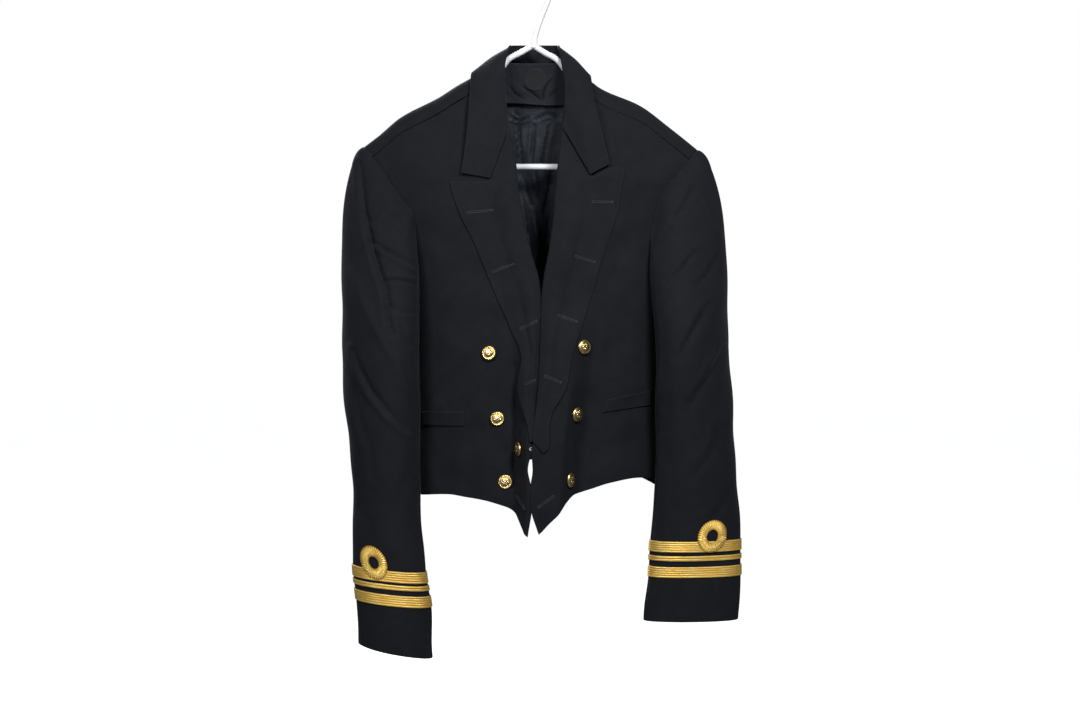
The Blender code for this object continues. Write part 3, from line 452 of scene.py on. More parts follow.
class JacketSizes(bpy.types.PropertyGroup):
    """Sizes and colours of the jacket."""

    wall: bpy.props.FloatProperty(
        name="Cloth", description="Thickness of the made-up cloth", default=0.002, min=0.001, max=0.003,
        unit="LENGTH",
    )
    folds: bpy.props.FloatProperty(
        name="Folds", description="Depth of the folds against the ones that were measured", default=1.0,
        min=0.0, max=1.5, subtype="FACTOR",
    )
    waves: bpy.props.FloatProperty(
        name="Waves", description="Height of the soft unevenness of the cloth", default=0.0006, min=0.0,
        max=0.002, unit="LENGTH",
    )
    roll: bpy.props.FloatProperty(
        name="Lapel roll", description="How far the lapels stand off the fronts near their roll",
        default=0.0036, min=0.0, max=0.006, unit="LENGTH",
    )
    twill: bpy.props.FloatProperty(
        name="Twill", description="Distance between the ribs of the weave", default=0.0011, min=0.0005,
        max=0.003, unit="LENGTH",
    )
    wool: bpy.props.FloatVectorProperty(
        name="Wool", description="Colour of the cloth", default=(0.0059, 0.0066, 0.0088), size=3,
        min=0.0, max=1.0, subtype="COLOR",
    )
    satin: bpy.props.FloatVectorProperty(
        name="Lining", description="Colour of the satin lining", default=(0.0058, 0.0088, 0.0142), size=3,
        min=0.0, max=1.0, subtype="COLOR",
    )
    gold: bpy.props.FloatVectorProperty(
        name="Lace", description="Colour of the gold lace", default=(0.98, 0.69, 0.155), size=3, min=0.0,
        max=1.0, subtype="COLOR",
    )
    gilt: bpy.props.FloatVectorProperty(
        name="Buttons", description="Colour of the gilt buttons", default=(0.92, 0.70, 0.30), size=3,
        min=0.0, max=1.0, subtype="COLOR",
    )
    plastic: bpy.props.FloatVectorProperty(
        name="Hanger", description="Colour of the plastic hanger", default=(0.72, 0.74, 0.78), size=3,
        min=0.0, max=1.0, subtype="COLOR",
    )
    light: bpy.props.FloatProperty(
        name="Light", description="Power of the large soft light", default=27.5, min=0.0, max=400.0,
        unit="POWER",
    )


def sizes():
    return bpy.context.scene.mess_jacket


# Shaders

class Wire:
    """A shader's socket. Sums with it add their Math nodes."""

    def __init__(self, shader, socket):
        self.shader = shader
        self.socket = socket

    def maths(self, operation, *values):
        return self.shader.node("ShaderNodeMath", {"operation": operation}, dict(enumerate(values)))

    def __add__(self, other):
        return self.maths("ADD", self, other)

    def __radd__(self, other):
        return self.maths("ADD", other, self)

    def __sub__(self, other):
        return self.maths("SUBTRACT", self, other)

    def __rsub__(self, other):
        return self.maths("SUBTRACT", other, self)

    def __mul__(self, other):
        return self.maths("MULTIPLY", self, other)

    def __rmul__(self, other):
        return self.maths("MULTIPLY", other, self)

    def wave(self):
        """Sine, from 0 to 1."""
        return self.maths("SINE", self) * 0.5 + 0.5

    def between(self, low, high):
        """0 up to low, 1 from high, smooth between."""
        ends = {0: self, 1: low, 2: high, 3: 0.0, 4: 1.0}
        return self.shader.node("ShaderNodeMapRange", {"interpolation_type": "SMOOTHSTEP"}, ends)


class Shader:
    """A material that is made node by node."""

    def __init__(self, name):
        self.material = bpy.data.materials.new(name + ".look")
        self.material.use_nodes = True
        self.nodes = self.material.node_tree.nodes
        self.links = self.material.node_tree.links
        self.surface = self.nodes["Principled BSDF"]

    def node(self, kind, settings=None, inputs=None, output=0):
        """A node of a type: its settings come first, then the values or links of its sockets."""
        made = self.nodes.new(kind)
        for key, value in (settings or {}).items():
            setattr(made, key, value)
        for key, value in (inputs or {}).items():
            self.feed(made.inputs[key], value)
        return Wire(self, made.outputs[output])

    def feed(self, socket, value):
        if isinstance(value, Wire):
            self.links.new(value.socket, socket)
        else:
            socket.default_value = value

    def finish(self, **values):
        """Sets the shader's own sockets, named with underscores."""
        for key, value in values.items():
            self.feed(self.surface.inputs[key.replace("_", " ")], value)
        return self.material

    def mixed(self, share, one, two):
        """One colour into another by a share."""
        return self.node("ShaderNodeMix", {"data_type": "RGBA"}, {0: share, 6: one, 7: two}, 2)

    def tinted(self, colour, value):
        """A colour made lighter or darker by a value."""
        return self.node("ShaderNodeVectorMath", {"operation": "SCALE"}, {0: colour, "Scale": value})

    def place(self):
        return self.node("ShaderNodeTexCoord", output=3)

    def threads(self):
        """How far across and along the cloth, in metres."""
        flat = self.node("ShaderNodeUVMap", {"uv_map": "cloth"})
        apart = self.node("ShaderNodeSeparateXYZ", inputs={0: flat})
        return apart, Wire(self, apart.socket.node.outputs[1])

    def mark(self, name):
        """A number that the mesh carries at each point."""
        return self.node("ShaderNodeAttribute", {"attribute_name": name}, output=2)

    def noise(self, scale, detail=3.0, rough=0.5, twist=0.0, at=None):
        inputs = {"Scale": scale, "Detail": detail, "Roughness": rough, "Distortion": twist}
        inputs["Vector"] = self.place() if at is None else at
        return self.node("ShaderNodeTexNoise", {"normalize": True}, inputs)

    def bump(self, height, strength, distance, under=None):
        inputs = {"Strength": strength, "Distance": distance, "Height": height}
        if under:
            inputs["Normal"] = under
        return self.node("ShaderNodeBump", None, inputs)


def turns(pitch):
    """Radians in a metre, for threads that are a pitch apart."""
    return 2 * math.pi / pitch


def opaque(colour):
    return (*colour, 1.0)


def wool_finish(name, lighter=1.0):
    """Fine dark wool: twill ribs, a short nap, uneven colour, and pressed edges that are lighter from rubbed
    wear and a painted highlight.
    """
    s = Shader(name)
    across, along = s.threads()
    broad = s.noise(7.0, 4.0, 0.55)
    patch = s.noise(70.0, 5.0, 0.65)
    nap = s.noise(260.0, 3.0, 0.6)
    fibre = s.noise(1500.0, 2.0, 0.6)
    twill = ((across + along) * turns(sizes().twill) + broad * 3.0).wave()
    # Lighter pressed edges: rubbed wear and a painted highlight.
    wear_and_painted_light = 1 - s.mark("edge").between(0.4, 3.4)
    lint = s.noise(900.0, 0.0, 0.0).between(0.74, 0.79)
    shade = 0.10 + broad * 0.60 + patch * 0.80 + nap * 0.40 + twill * 0.14 + wear_and_painted_light * 0.20
    colour = s.tinted([c * lighter for c in sizes().wool], shade)
    colour = s.mixed(lint * 0.3, colour, (0.02, 0.021, 0.024, 1.0))
    height = twill * 0.45 + fibre * 0.3 + nap * 0.5
    normal = s.bump(patch, 0.25, 0.0016)
    normal = s.bump(height, 0.4, 0.0004, normal)
    return s.finish(
        Base_Color=colour, Roughness=0.86 - wear_and_painted_light * 0.1 + (nap - 0.5) * 0.12, Normal=normal,
        Sheen_Weight=0.06, Sheen_Roughness=0.4, Sheen_Tint=(0.62, 0.68, 0.8, 1.0), Specular_IOR_Level=0.14,
    )


def satin_finish():
    """Lining satin: smooth floats across the cloth, small creases and a cool gloss."""
    s = Shader("satin")
    across, along = s.threads()
    broad = s.noise(16.0, 4.0, 0.6)
    crush = s.noise(46.0, 4.0, 0.62, twist=1.4)
    floats = (along * turns(0.0007) + across * turns(0.0035)).wave()
    sheen = (broad * 0.6 + crush * 0.4).between(0.3, 0.75)
    colour = s.mixed(sheen, opaque(sizes().satin), (0.0092, 0.0137, 0.0230, 1.0))
    normal = s.bump(crush, 0.4, 0.003)
    normal = s.bump(floats, 0.2, 0.0002, normal)
    return s.finish(
        Base_Color=colour, Roughness=0.54 + broad * 0.14 + floats * 0.04, Normal=normal,
        Specular_IOR_Level=0.3, Sheen_Weight=0.1,
    )


def label_finish():
    """A bare woven label: fine ribs and a stitched border."""
    s = Shader("label")
    across, along = s.threads()
    ribs = (along * turns(0.0009)).wave()
    edge = s.mark("edge")
    border = edge.between(0.9, 1.3) * (1 - edge.between(1.8, 2.2))
    stitch = border * ((across + along) * turns(0.0021)).wave().between(0.35, 0.6)
    cloth = s.tinted((0.0100, 0.0104, 0.0126), 0.75 + s.noise(60.0) * 0.35 + ribs * 0.2)
    colour = s.mixed(stitch * 0.8, cloth, (0.026, 0.026, 0.029, 1.0))
    return s.finish(
        Base_Color=colour, Roughness=0.66 - stitch * 0.1, Normal=s.bump(ribs * 0.4 + stitch, 0.35, 0.0004),
        Specular_IOR_Level=0.2, Sheen_Weight=0.04,
    )


def lace_finish(name, turned=False):
    """Gold wire lace: bright edges, darker middle, fine wires across the ribs, painted light on the ribs,
    painted shade between them, a painted highlight and patches of tarnish.
    """
    s = Shader(name)
    across, along = s.threads()
    rib = s.mark("rib")
    wires = (across * turns(0.0016 if turned else 0.0008) + along * 900.0).wave()
    cloth = s.node("ShaderNodeUVMap", {"uv_map": "cloth"})
    drawn = s.node("ShaderNodeVectorMath", {"operation": "MULTIPLY"}, {0: cloth, 1: (1.0, 14.0, 1.0)})
    streak = s.noise(70.0, 4.0, 0.6, at=drawn)
    worn = s.noise(40.0, 4.0, 0.6)
    # Lighter on the raised ribs as painted light, and along random streaks.
    bright = (rib * 0.75 + streak * 0.5 - 0.12).between(0.1, 0.95)
    colour = s.mixed(bright, (0.50, 0.24, 0.03, 1.0), opaque(sizes().gold))
    if not turned:
        inner = s.mark("edge").between(1.3, 3.0) * (0.25 + worn.between(0.4, 0.62) * 0.6)
        colour = s.mixed(inner, colour, (0.80, 0.43, 0.05, 1.0))
    # Painted highlight: pale gold on the ribs and streaks.
    colour = s.mixed((streak + rib * 0.35).between(0.72, 1.05) * 0.8, colour, (1.0, 0.90, 0.40, 1.0))
    # Painted shade: darker between the ribs and between the pleats of the curls.
    hollow_painted_shade = (1 - rib).between(0.3, 0.95) * 0.85 if turned else (1 - rib).between(0.55, 1.0) * 0.5
    colour = s.mixed(hollow_painted_shade, colour, (0.22, 0.10, 0.012, 1.0))
    colour = s.mixed(worn.between(0.6, 0.85) * 0.25, colour, (0.30, 0.17, 0.05, 1.0))
    normal = s.bump(wires * 0.7 + rib * 0.4, 0.5, 0.00035)
    return s.finish(
        Base_Color=colour, Metallic=0.5 + rib * 0.2, Roughness=0.46 - rib * 0.1 + worn * 0.08, Normal=normal,
    )


def gilt_finish():
    """Polished gilt: lighter on the raised parts and darker in the hollows as painted light and shade with
    some random wear, and fine scratches.
    """
    s = Shader("gilt")
    raised = s.mark("raised")
    worn = s.noise(420.0, 4.0, 0.6)
    fine = s.noise(2600.0, 2.0, 0.5)
    # Painted light and shade from how raised each point is, with random wear: lighter on the raised parts,
    # darker in the hollows.
    wear_and_painted_light = (raised + (worn - 0.5) * 0.5).between(0.15, 0.75)
    colour = s.mixed(wear_and_painted_light, (0.42, 0.24, 0.05, 1.0), opaque(sizes().gilt))
    # Painted highlight: pale gold on the highest raised parts.
    colour = s.mixed((raised + worn * 0.4).between(1.05, 1.35), colour, (1.0, 0.88, 0.58, 1.0))
    return s.finish(
        Base_Color=colour, Metallic=1.0, Roughness=0.34 - raised.between(0.2, 1.0) * 0.16 + worn * 0.08,
        Normal=s.bump(fine * 0.4 + worn, 0.12, 0.0002),
    )


def steel_finish():
    """Dull steel wire with drawing lines."""
    s = Shader("steel")
    worn = s.noise(300.0, 4.0, 0.6)
    drawn = s.noise(1800.0, 2.0, 0.5)
    colour = s.mixed(worn.between(0.35, 0.7), (0.32, 0.33, 0.35, 1.0), (0.58, 0.59, 0.6, 1.0))
    return s.finish(
        Base_Color=colour, Metallic=1.0, Roughness=0.32 + worn * 0.2, Normal=s.bump(drawn, 0.15, 0.0001),
    )


def plastic_finish():
    """Moulded white plastic: a faint orange peel and dull scuffs."""
    s = Shader("white_plastic")
    peel = s.noise(700.0, 2.0, 0.5)
    scuff = s.noise(55.0, 5.0, 0.65)
    colour = s.mixed(scuff.between(0.42, 0.72), opaque(sizes().plastic), (0.64, 0.65, 0.68, 1.0))
    return s.finish(
        Base_Color=colour, Roughness=0.30 + scuff * 0.22, Normal=s.bump(peel, 0.12, 0.0003),
        Specular_IOR_Level=0.5,
    )


def thread_finish():
    """Buttonhole twist: dark thread with a dull shine."""
    s = Shader("buttonhole_thread")
    across, along = s.threads()
    twist = (across * turns(0.0009) + along * 1500.0).wave()
    colour = s.tinted((0.029, 0.0305, 0.035), 0.65 + twist * 0.5 + s.noise(500.0) * 0.3)
    return s.finish(
        Base_Color=colour, Roughness=0.7, Normal=s.bump(twist, 0.4, 0.0002), Specular_IOR_Level=0.25,
    )


def floor_finish():
    """Pale matt floor."""
    s = Shader("pale_floor")
    cloudy = s.noise(1.6, 3.0, 0.5)
    grain = s.noise(90.0, 3.0, 0.5)
    colour = s.mixed(cloudy * 0.6 + grain * 0.4, (0.88, 0.88, 0.88, 1.0), (0.92, 0.92, 0.915, 1.0))
    return s.finish(
        Base_Color=colour, Roughness=0.75, Normal=s.bump(grain, 0.05, 0.001), Emission_Color=colour,
        Emission_Strength=0.97,
    )


FINISHES = {
    "wool": lambda: wool_finish("wool"),
    # The lapels and the collar take a lighter copy of the wool: painted sheen.
    "lapel_wool_painted_sheen": lambda: wool_finish("lapel_wool_painted_sheen", 1.12),
    "facing_wool": lambda: wool_finish("facing_wool", 1.95),
    "satin": satin_finish,
    "label": label_finish,
    "gold_lace": lambda: lace_finish("gold_lace"),
    "gold_curl": lambda: lace_finish("gold_curl", turned=True),
    "gilt": gilt_finish,
    "steel": steel_finish,
    "white_plastic": plastic_finish,
    "buttonhole_thread": thread_finish,
    "pale_floor": floor_finish,
}


def finish(name):
    """The material of a name, which is made when it is first asked for."""
    return bpy.data.materials.get(name + ".look") or FINISHES[name]()


# Shapes of the cloth

def smooth(low, high, x):
    t = np.clip((x - low) / (high - low), 0, 1)
    return t * t * (3 - 2 * t)


def along_line(points, share):
    """Points at shares of a polyline's length."""
    points = np.array(points, float)
    length = np.concatenate([[0], np.cumsum(np.linalg.norm(np.diff(points, axis=0), axis=1))])
    return np.stack([through(length / length[-1], column, share) for column in points.T], axis=-1)


def folds_at(x, z, folds):
    """Depth of the folds at points seen from the front: creases with the fuller cloth of their lips."""
    depth = np.zeros(np.broadcast(x, z).shape)
    for _, half, deep, lip, *points in folds:
        line = np.array(points, float)
        runs = np.diff(line, axis=0)
        long = np.linalg.norm(runs, axis=1)
        done = np.concatenate([[0], np.cumsum(long)])
        near = np.full(depth.shape, 1e9)
        side = np.zeros(depth.shape)
        place = np.zeros(depth.shape)
        for start, run, size, before in zip(line, runs, long, done):
            t = np.clip(((x - start[0]) * run[0] + (z - start[1]) * run[1]) / size**2, 0, 1)
            away = np.hypot(x - start[0] - t * run[0], z - start[1] - t * run[1])
            turn = (run[0] * (z - start[1]) - run[1] * (x - start[0])) / size
            closer = away < near
            near = np.where(closer, away, near)
            side = np.where(closer, -np.sign(turn), side)
            place = np.where(closer, (before + t * size) / done[-1], place)
        crease = np.exp(-((near / half) ** 1.6))
        full = abs(lip) * np.exp(-(((near * side * np.sign(lip) - 1.9 * half) / (1.1 * half)) ** 2))
        taper = 0.25 + 0.75 * np.sin(math.pi * np.clip(place, 0.06, 0.94)) ** 0.6
        depth += deep * (crease - full) * taper
    return depth * sizes().folds


def side_folds(side, table):
    return [row for row in table if row[0] == side]


def wave_table(seed, count, short, long):
    """Plane waves: steps across and along per millimetre, phase and share."""
    draw = np.random.default_rng(seed)
    length = short * (long / short) ** draw.random(count)
    turn = draw.random(count) * math.pi
    phase = draw.random(count) * 2 * math.pi
    share = (length / long) ** 0.7
    return list(zip(2 * math.pi * np.cos(turn) / length, 2 * math.pi * np.sin(turn) / length, phase, share))


BODY_WAVES = wave_table(5, 14, 34, 150)
LINING_WAVES = wave_table(9, 16, 14, 70)
SLEEVE_WAVES = [
    (int(n), w, phase, share)
    for n, (_, w, phase, share) in zip((2, 3, 4, 3, 5, 2, 4, 6, 3, 5), wave_table(3, 10, 60, 220))
]


def waves_at(x, z, waves):
    total = np.zeros(np.broadcast(x, z).shape)
    for kx, kz, phase, share in waves:
        total += share * np.sin(kx * x + kz * z + phase)
    return total


def body_y(side, face, x, z, out=0.0, waves=True):
    """Depth of the body's skin at (x, z), moved out by a distance."""
    rows = BODY[side]
    name = "front" if face == FRONT else "back"
    width = rows.at(name + "_width", z) + out
    depth = rows.at(name + "_depth", z) + out
    share = np.clip(np.abs(x) / width, 0, 1)
    across = (1 - share**ROUND) ** (1 / ROUND)
    drop = np.clip((RIDGE.at("z", x) + out - z) / SHOULDER_REACH, 0, 1)
    fall = (1 - (1 - drop) ** SHOULDER_BEND) ** SHOULDER_ROUND
    y = face * depth * across * fall
    if face == FRONT:
        step = FORWARD[side]
        near = step.at("near", z)
        far = step.at("far", z)
        y = y - step.at("reach", z) * (1 - smooth(near, far, x) if side == LEFT else smooth(far, near, x))
        y = y + folds_at(x, z, side_folds(side, BODY_FOLDS))
    if waves:
        calm = smooth(0.05, 0.4, drop) * (1 - smooth(0.75, 0.97, share))
        y = y + sizes().waves / MM * waves_at(x + 37 * face, z, BODY_WAVES) * calm
    return y


def on_front(side, xz):
    return np.stack([xz[..., 0], body_y(side, FRONT, xz[..., 0], xz[..., 1]), xz[..., 1]], axis=-1)


def armhole(side, angle):
    """Seam of the armhole at angles in degrees."""
    table = ARMHOLE[side]
    x = table.at("x", angle)
    z = RIDGE.at("z", x) - table.at("drop", angle)
    y = np.where(angle > 0, body_y(side, FRONT, x, z), body_y(side, BACK, x, z))
    return np.stack([x, np.where(angle == 0, 0, y), z], axis=-1)


def ends_dense(count):
    """Shares from 0 to 1, closer together at both ends."""
    return (1 - np.cos(np.linspace(0, math.pi, count))) / 2


def edged(count, length):
    """Even shares of a length in millimetres, with three close lines inside each end."""
    close = np.array([0, 0.35, 0.9, 1.8]) / length
    return np.concatenate([close, np.linspace(close[-1] * 2, 1 - close[-1] * 2, count), 1 - close[::-1]])


def crowded(share, place, amount):
    """The shares from 0 to 1, drawn closer together about a place."""
    turn = 2 * math.pi
    return share + amount * (np.sin(turn * (share - place + 0.5)) - math.sin(turn * (0.5 - place))) / turn


def lines_of(name):
    """Rows and columns of a smaller piece as shares of its height and width."""
    rows, height, columns, width = LINES[name]
    return edged(rows, height)[:, None], edged(columns, width)[None, :]


def between_keys(keys, times):
    """The keys with more values between each two."""
    keys = np.asarray(keys, float)
    return np.interp(np.linspace(0, len(keys) - 1, (len(keys) - 1) * times + 1), np.arange(len(keys)), keys)


def tucked(side, points, tuck):
    """The front edge: over the other one where they meet, drawn back where the lapel rolls round it."""
    moved = []
    for x, z in points:
        meet = float(MEET.at("right" if side == RIGHT else "left", z))
        rolled = float(smooth(-616, -596, z) * (1 - smooth(-205, -180, z)))
        moved.append((x + meet + side * tuck * rolled, z))
    return moved


def roll_radius():
    return sizes().wall / MM * 1.5 + 0.6


def front_outline(side):
    """Side seam and armhole of a front, from the hem to the shoulder seam."""
    hem = HEM[side][-1]
    table = BODY[side]
    seam = [(side * (table.at("front_width", z) - 0.05), z) for z in np.linspace(hem[1], -470, 6)]
    hole = armhole(side, np.array([180, 170, 160, 140, 115, 95, 80, 62, 45, 28.0]))
    return [(float(x), float(z)) for x, z in seam] + [(p[0], p[2]) for p in hole]


def front_grid(side):
    """Points of a front, rows from the hem to the shoulder seam, columns from the front edge to the side."""
    v = edged(176, 560)
    f = ends_dense(84)
    inner = along_line(tucked(side, EDGE[side], roll_radius()), v)[:, None, :]
    outer = along_line(front_outline(side), v)[:, None, :]
    xz = inner + (outer - inner) * f[None, :, None]
    hem = np.array(HEM[side], float)
    share = (hem[:, 0] - hem[0, 0]) / (hem[-1, 0] - hem[0, 0])
    shape = through(share, hem[:, 1], f) - (hem[0, 1] + (hem[-1, 1] - hem[0, 1]) * f)
    xz[..., 1] += shape[None, :] * ((1 - smooth(0, 0.35, v)) ** 1.5)[:, None]
    seam = RIDGE.at("z", xz[-1, :, 0]) - SEAM_DROP + 0.7
    corner = xz[-1, [0, -1], 1]
    top = seam - seam[0] + corner[0] - (corner[0] + (corner[1] - corner[0]) * f)
    top -= f * top[-1]
    xz[..., 1] += top[None, :] * (smooth(0.72, 1, v) ** 1.5)[:, None]
    return on_front(side, xz)


def back_grid():
    """Points of the back from its hem up over the ridge to the shoulder seams."""
    neck_side = np.array([22, 38, 50, 60, 72, 92, 116, 141, 163, 181, 194, 201])
    f = np.concatenate([[0], 0.5 - neck_side[::-1] / 410, [0.5], 0.5 + neck_side / 410, [1]])
    f = between_keys(f, 4)
    hole = [-180, -165, -150, -135, -120, -95, -70, -45, -28, -12, -4, 0, 4, 12, 16, 20, 24, 28]
    angles = between_keys(hole, 4)
    sides = {}
    for side in (RIGHT, LEFT):
        hem = HEM[side][-1][1]
        z = hem + (-475 - hem) * np.concatenate([[0, 0.0018, 0.0045, 0.009], np.linspace(0.02, 1, 38)])
        x = side * (BODY[side].at("back_width", z) - 0.05)
        hole_x = ARMHOLE[side].at("x", angles)
        drop = ARMHOLE[side].at("drop", angles) * np.where(angles > 0, -SEAM_DROP / 24, 1)
        sides[side] = (np.concatenate([x, hole_x]), np.concatenate([RIDGE.at("z", x) - z, drop]))
    left = sides[RIGHT][0][:, None]
    right = sides[LEFT][0][:, None]
    x = left + (right - left) * f[None, :]
    share = [(d - d[-1]) / (d[0] - d[-1]) for d in (sides[RIGHT][1], sides[LEFT][1])]
    share = share[0][:, None] * (1 - f)[None, :] + share[1][:, None] * f[None, :]
    hem_z = -622 - 46 * np.abs(2 * f - 1) ** 1.7
    hem_z[0] = HEM[RIGHT][-1][1]
    hem_z[-1] = HEM[LEFT][-1][1]
    hem_drop = RIDGE.at("z", x[0]) - hem_z
    neck = Table(
        "x drop", (0, 24), (26, 16), (40, 8), (50, 0), (60, -12), (72, -SEAM_DROP), (230, -SEAM_DROP)
    )
    end_drop = neck.at("drop", np.abs(x[-1] - 3 * (np.abs(x[-1]) < 70)))
    drop = end_drop[None, :] + (hem_drop - end_drop)[None, :] * share
    z = RIDGE.at("z", x) - np.abs(drop)
    y = np.empty_like(x)
    for side, mask in ((RIGHT, x < 0), (LEFT, x >= 0)):
        y = np.where(mask, np.where(drop >= 0, body_y(side, BACK, x, z), body_y(side, FRONT, x, z)), y)
    return np.stack([x, y, z], axis=-1)


def ring(side, z, turn):
    """Ring of a sleeve at height z; turn 0 is next to the body, 90 the front, 180 outside."""
    rows = SLEEVE[side]
    outer = rows.at("outer", z)
    inner = rows.at("inner", z)
    middle = (outer + inner) / 2
    x = middle + (inner - middle) * np.cos(turn)
    y = rows.at("y", z) - rows.at("deep", z) * np.sin(turn + np.radians(rows.at("phase", z)))
    return np.stack([x, y, z + rows.at("tilt", z) * (x - middle)], axis=-1)


def sleeve_grid(side, angles, caps, levels):
    """Points of a sleeve: rows down the cap, then down the rings, and a column for each angle."""
    angles = np.asarray(angles, float)
    turn = np.radians(180 - angles - 40 * np.sin(np.radians(angles / 2)) ** 2)
    start = armhole(side, angles) - np.array([side * 0.9, 0, 0])
    end = ring(side, np.full_like(turn, CAP_END), turn)
    away = np.stack(
        [side * LEAVING.at("out", angles), -LEAVING.at("fore", angles), -LEAVING.at("down", angles)], axis=-1
    )
    down = np.zeros_like(end)
    down[:, 2] = -1.15 * (start[:, 2] - end[:, 2])
    caps = np.asarray(caps, float)
    s = caps[:, None, None]
    cap = (
        start * (1 + 2 * s) * (1 - s) ** 2 + away * s * (1 - s) ** 2 + end * s * s * (3 - 2 * s)
        + down * s * s * (s - 1)
    )
    z = np.asarray(levels, float)
    rings = ring(side, np.repeat(z[:, None], len(turn), 1), np.repeat(turn[None, :], len(z), 0))
    grid = np.concatenate([cap, rings])
    normal = sleeve_normals(side, grid)
    facing = np.clip(-normal[..., 1], 0, 1)
    depth = folds_at(grid[..., 0], grid[..., 2], side_folds(side, SLEEVE_FOLDS)) * smooth(0.05, 0.6, facing)
    wave = waves_at(np.radians(angles)[None, :] + 0 * grid[..., 2], grid[..., 2], SLEEVE_WAVES)
    depth = depth - 0.8 * sizes().waves / MM * wave
    share = np.concatenate([caps, np.ones(len(z))])
    ease = CAP_EASE * np.sin(math.pi * np.clip(share / 0.22, 0, 1)) ** 0.8
    ease = ease[:, None] * smooth(-110, -60, angles)[None, :] * (1 - smooth(60, 105, angles))[None, :]
    depth = depth * smooth(0, 0.1, share)[:, None] - ease
    return grid - normal * depth[..., None]


def sleeve_normals(side, grid):
    """Unit normals of a sleeve's grid, away from the middle line of the sleeve."""
    normal = normals(grid)
    z = grid[..., 2].mean(axis=1)
    rows = SLEEVE[side]
    middle = np.stack([(rows.at("outer", z) + rows.at("inner", z)) / 2, rows.at("y", z), z], axis=-1)
    return normal if ((grid - middle[:, None]) * normal).sum() > 0 else -normal


def normals(grid, loop=False):
    """Unit normals of a grid."""
    if loop:
        across = np.roll(grid, -1, 1) - np.roll(grid, 1, 1)
    else:
        across = np.gradient(grid, axis=1)
    normal = np.cross(across, np.gradient(grid, axis=0))
    return normal / np.maximum(np.linalg.norm(normal, axis=-1, keepdims=True), 1e-9)


def outward(grid, normal, centre):
    """The normals, flipped all together when they point at a centre."""
    return normal if ((grid - np.array(centre, float)) * normal).sum() > 0 else -normal


# Meshes

def lengths(grid, loop):
    """Arc lengths in metres across and along a grid, for each point and for the column that closes a loop."""
    closed = np.concatenate([grid, grid[:, :1]], axis=1) if loop else grid
    across = np.linalg.norm(np.diff(closed, axis=1), axis=-1)
    up = np.linalg.norm(np.diff(closed, axis=0), axis=-1)
    u = np.concatenate([np.zeros((len(grid), 1)), np.cumsum(across, axis=1)], axis=1)
    v = np.concatenate([np.zeros((1, closed.shape[1])), np.cumsum(up, axis=0)])
    return u * MM, v * MM


def edge_distance(u, v, loop, free=(1, 1, 1, 1)):
    """Millimetres from each point to the nearest edge: first row, last row, first column, last column."""
    far = 1e3
    parts = [v if free[0] else v + far, v[-1:] - v if free[1] else v + far]
    if not loop:
        parts += [u if free[2] else u + far, u[:, -1:] - u if free[3] else u + far]
    return np.minimum.reduce(parts) / MM


def rounded(distance, wall):
    """How far each skin draws in near an edge, so that the edge is round."""
    half = wall / 2
    d = np.clip(distance, 0, half)
    return half - np.sqrt(np.maximum(half**2 - (half - d) ** 2, 0))


def mesh_object(name, points, faces, uv, material, marks=None, sharp=50.0):
    """A mesh in metres from points in millimetres, with its cloth map and its marks."""
    mesh = bpy.data.meshes.new(name)
    mesh.vertices.add(len(points))
    mesh.vertices.foreach_set("co", (np.asarray(points, np.float64) * MM).ravel())
    if isinstance(faces, np.ndarray):
        counts = np.full(len(faces), faces.shape[1])
        corners = faces.ravel()
    else:
        counts = np.array([len(face) for face in faces])
        corners = np.concatenate([np.asarray(face) for face in faces])
    mesh.loops.add(len(corners))
    mesh.loops.foreach_set("vertex_index", corners.astype(np.int32))
    mesh.polygons.add(len(counts))
    mesh.polygons.foreach_set("loop_start", np.concatenate([[0], np.cumsum(counts)[:-1]]).astype(np.int32))
    mesh.update(calc_edges=True)
    layer = mesh.uv_layers.new(name="cloth")
    layer.data.foreach_set("uv", np.asarray(uv, np.float32).ravel())
    for key, values in (marks or {}).items():
        mark = mesh.attributes.new(key, "FLOAT", "POINT")
        mark.data.foreach_set("value", np.asarray(values, np.float32).ravel())
    mesh.shade_smooth()
    mesh.set_sharp_from_angle(angle=math.radians(sharp))
    mesh.validate()
    mesh.materials.append(material)
    obj = bpy.data.objects.new(name, mesh)
    bpy.context.scene.collection.objects.link(obj)
    return obj


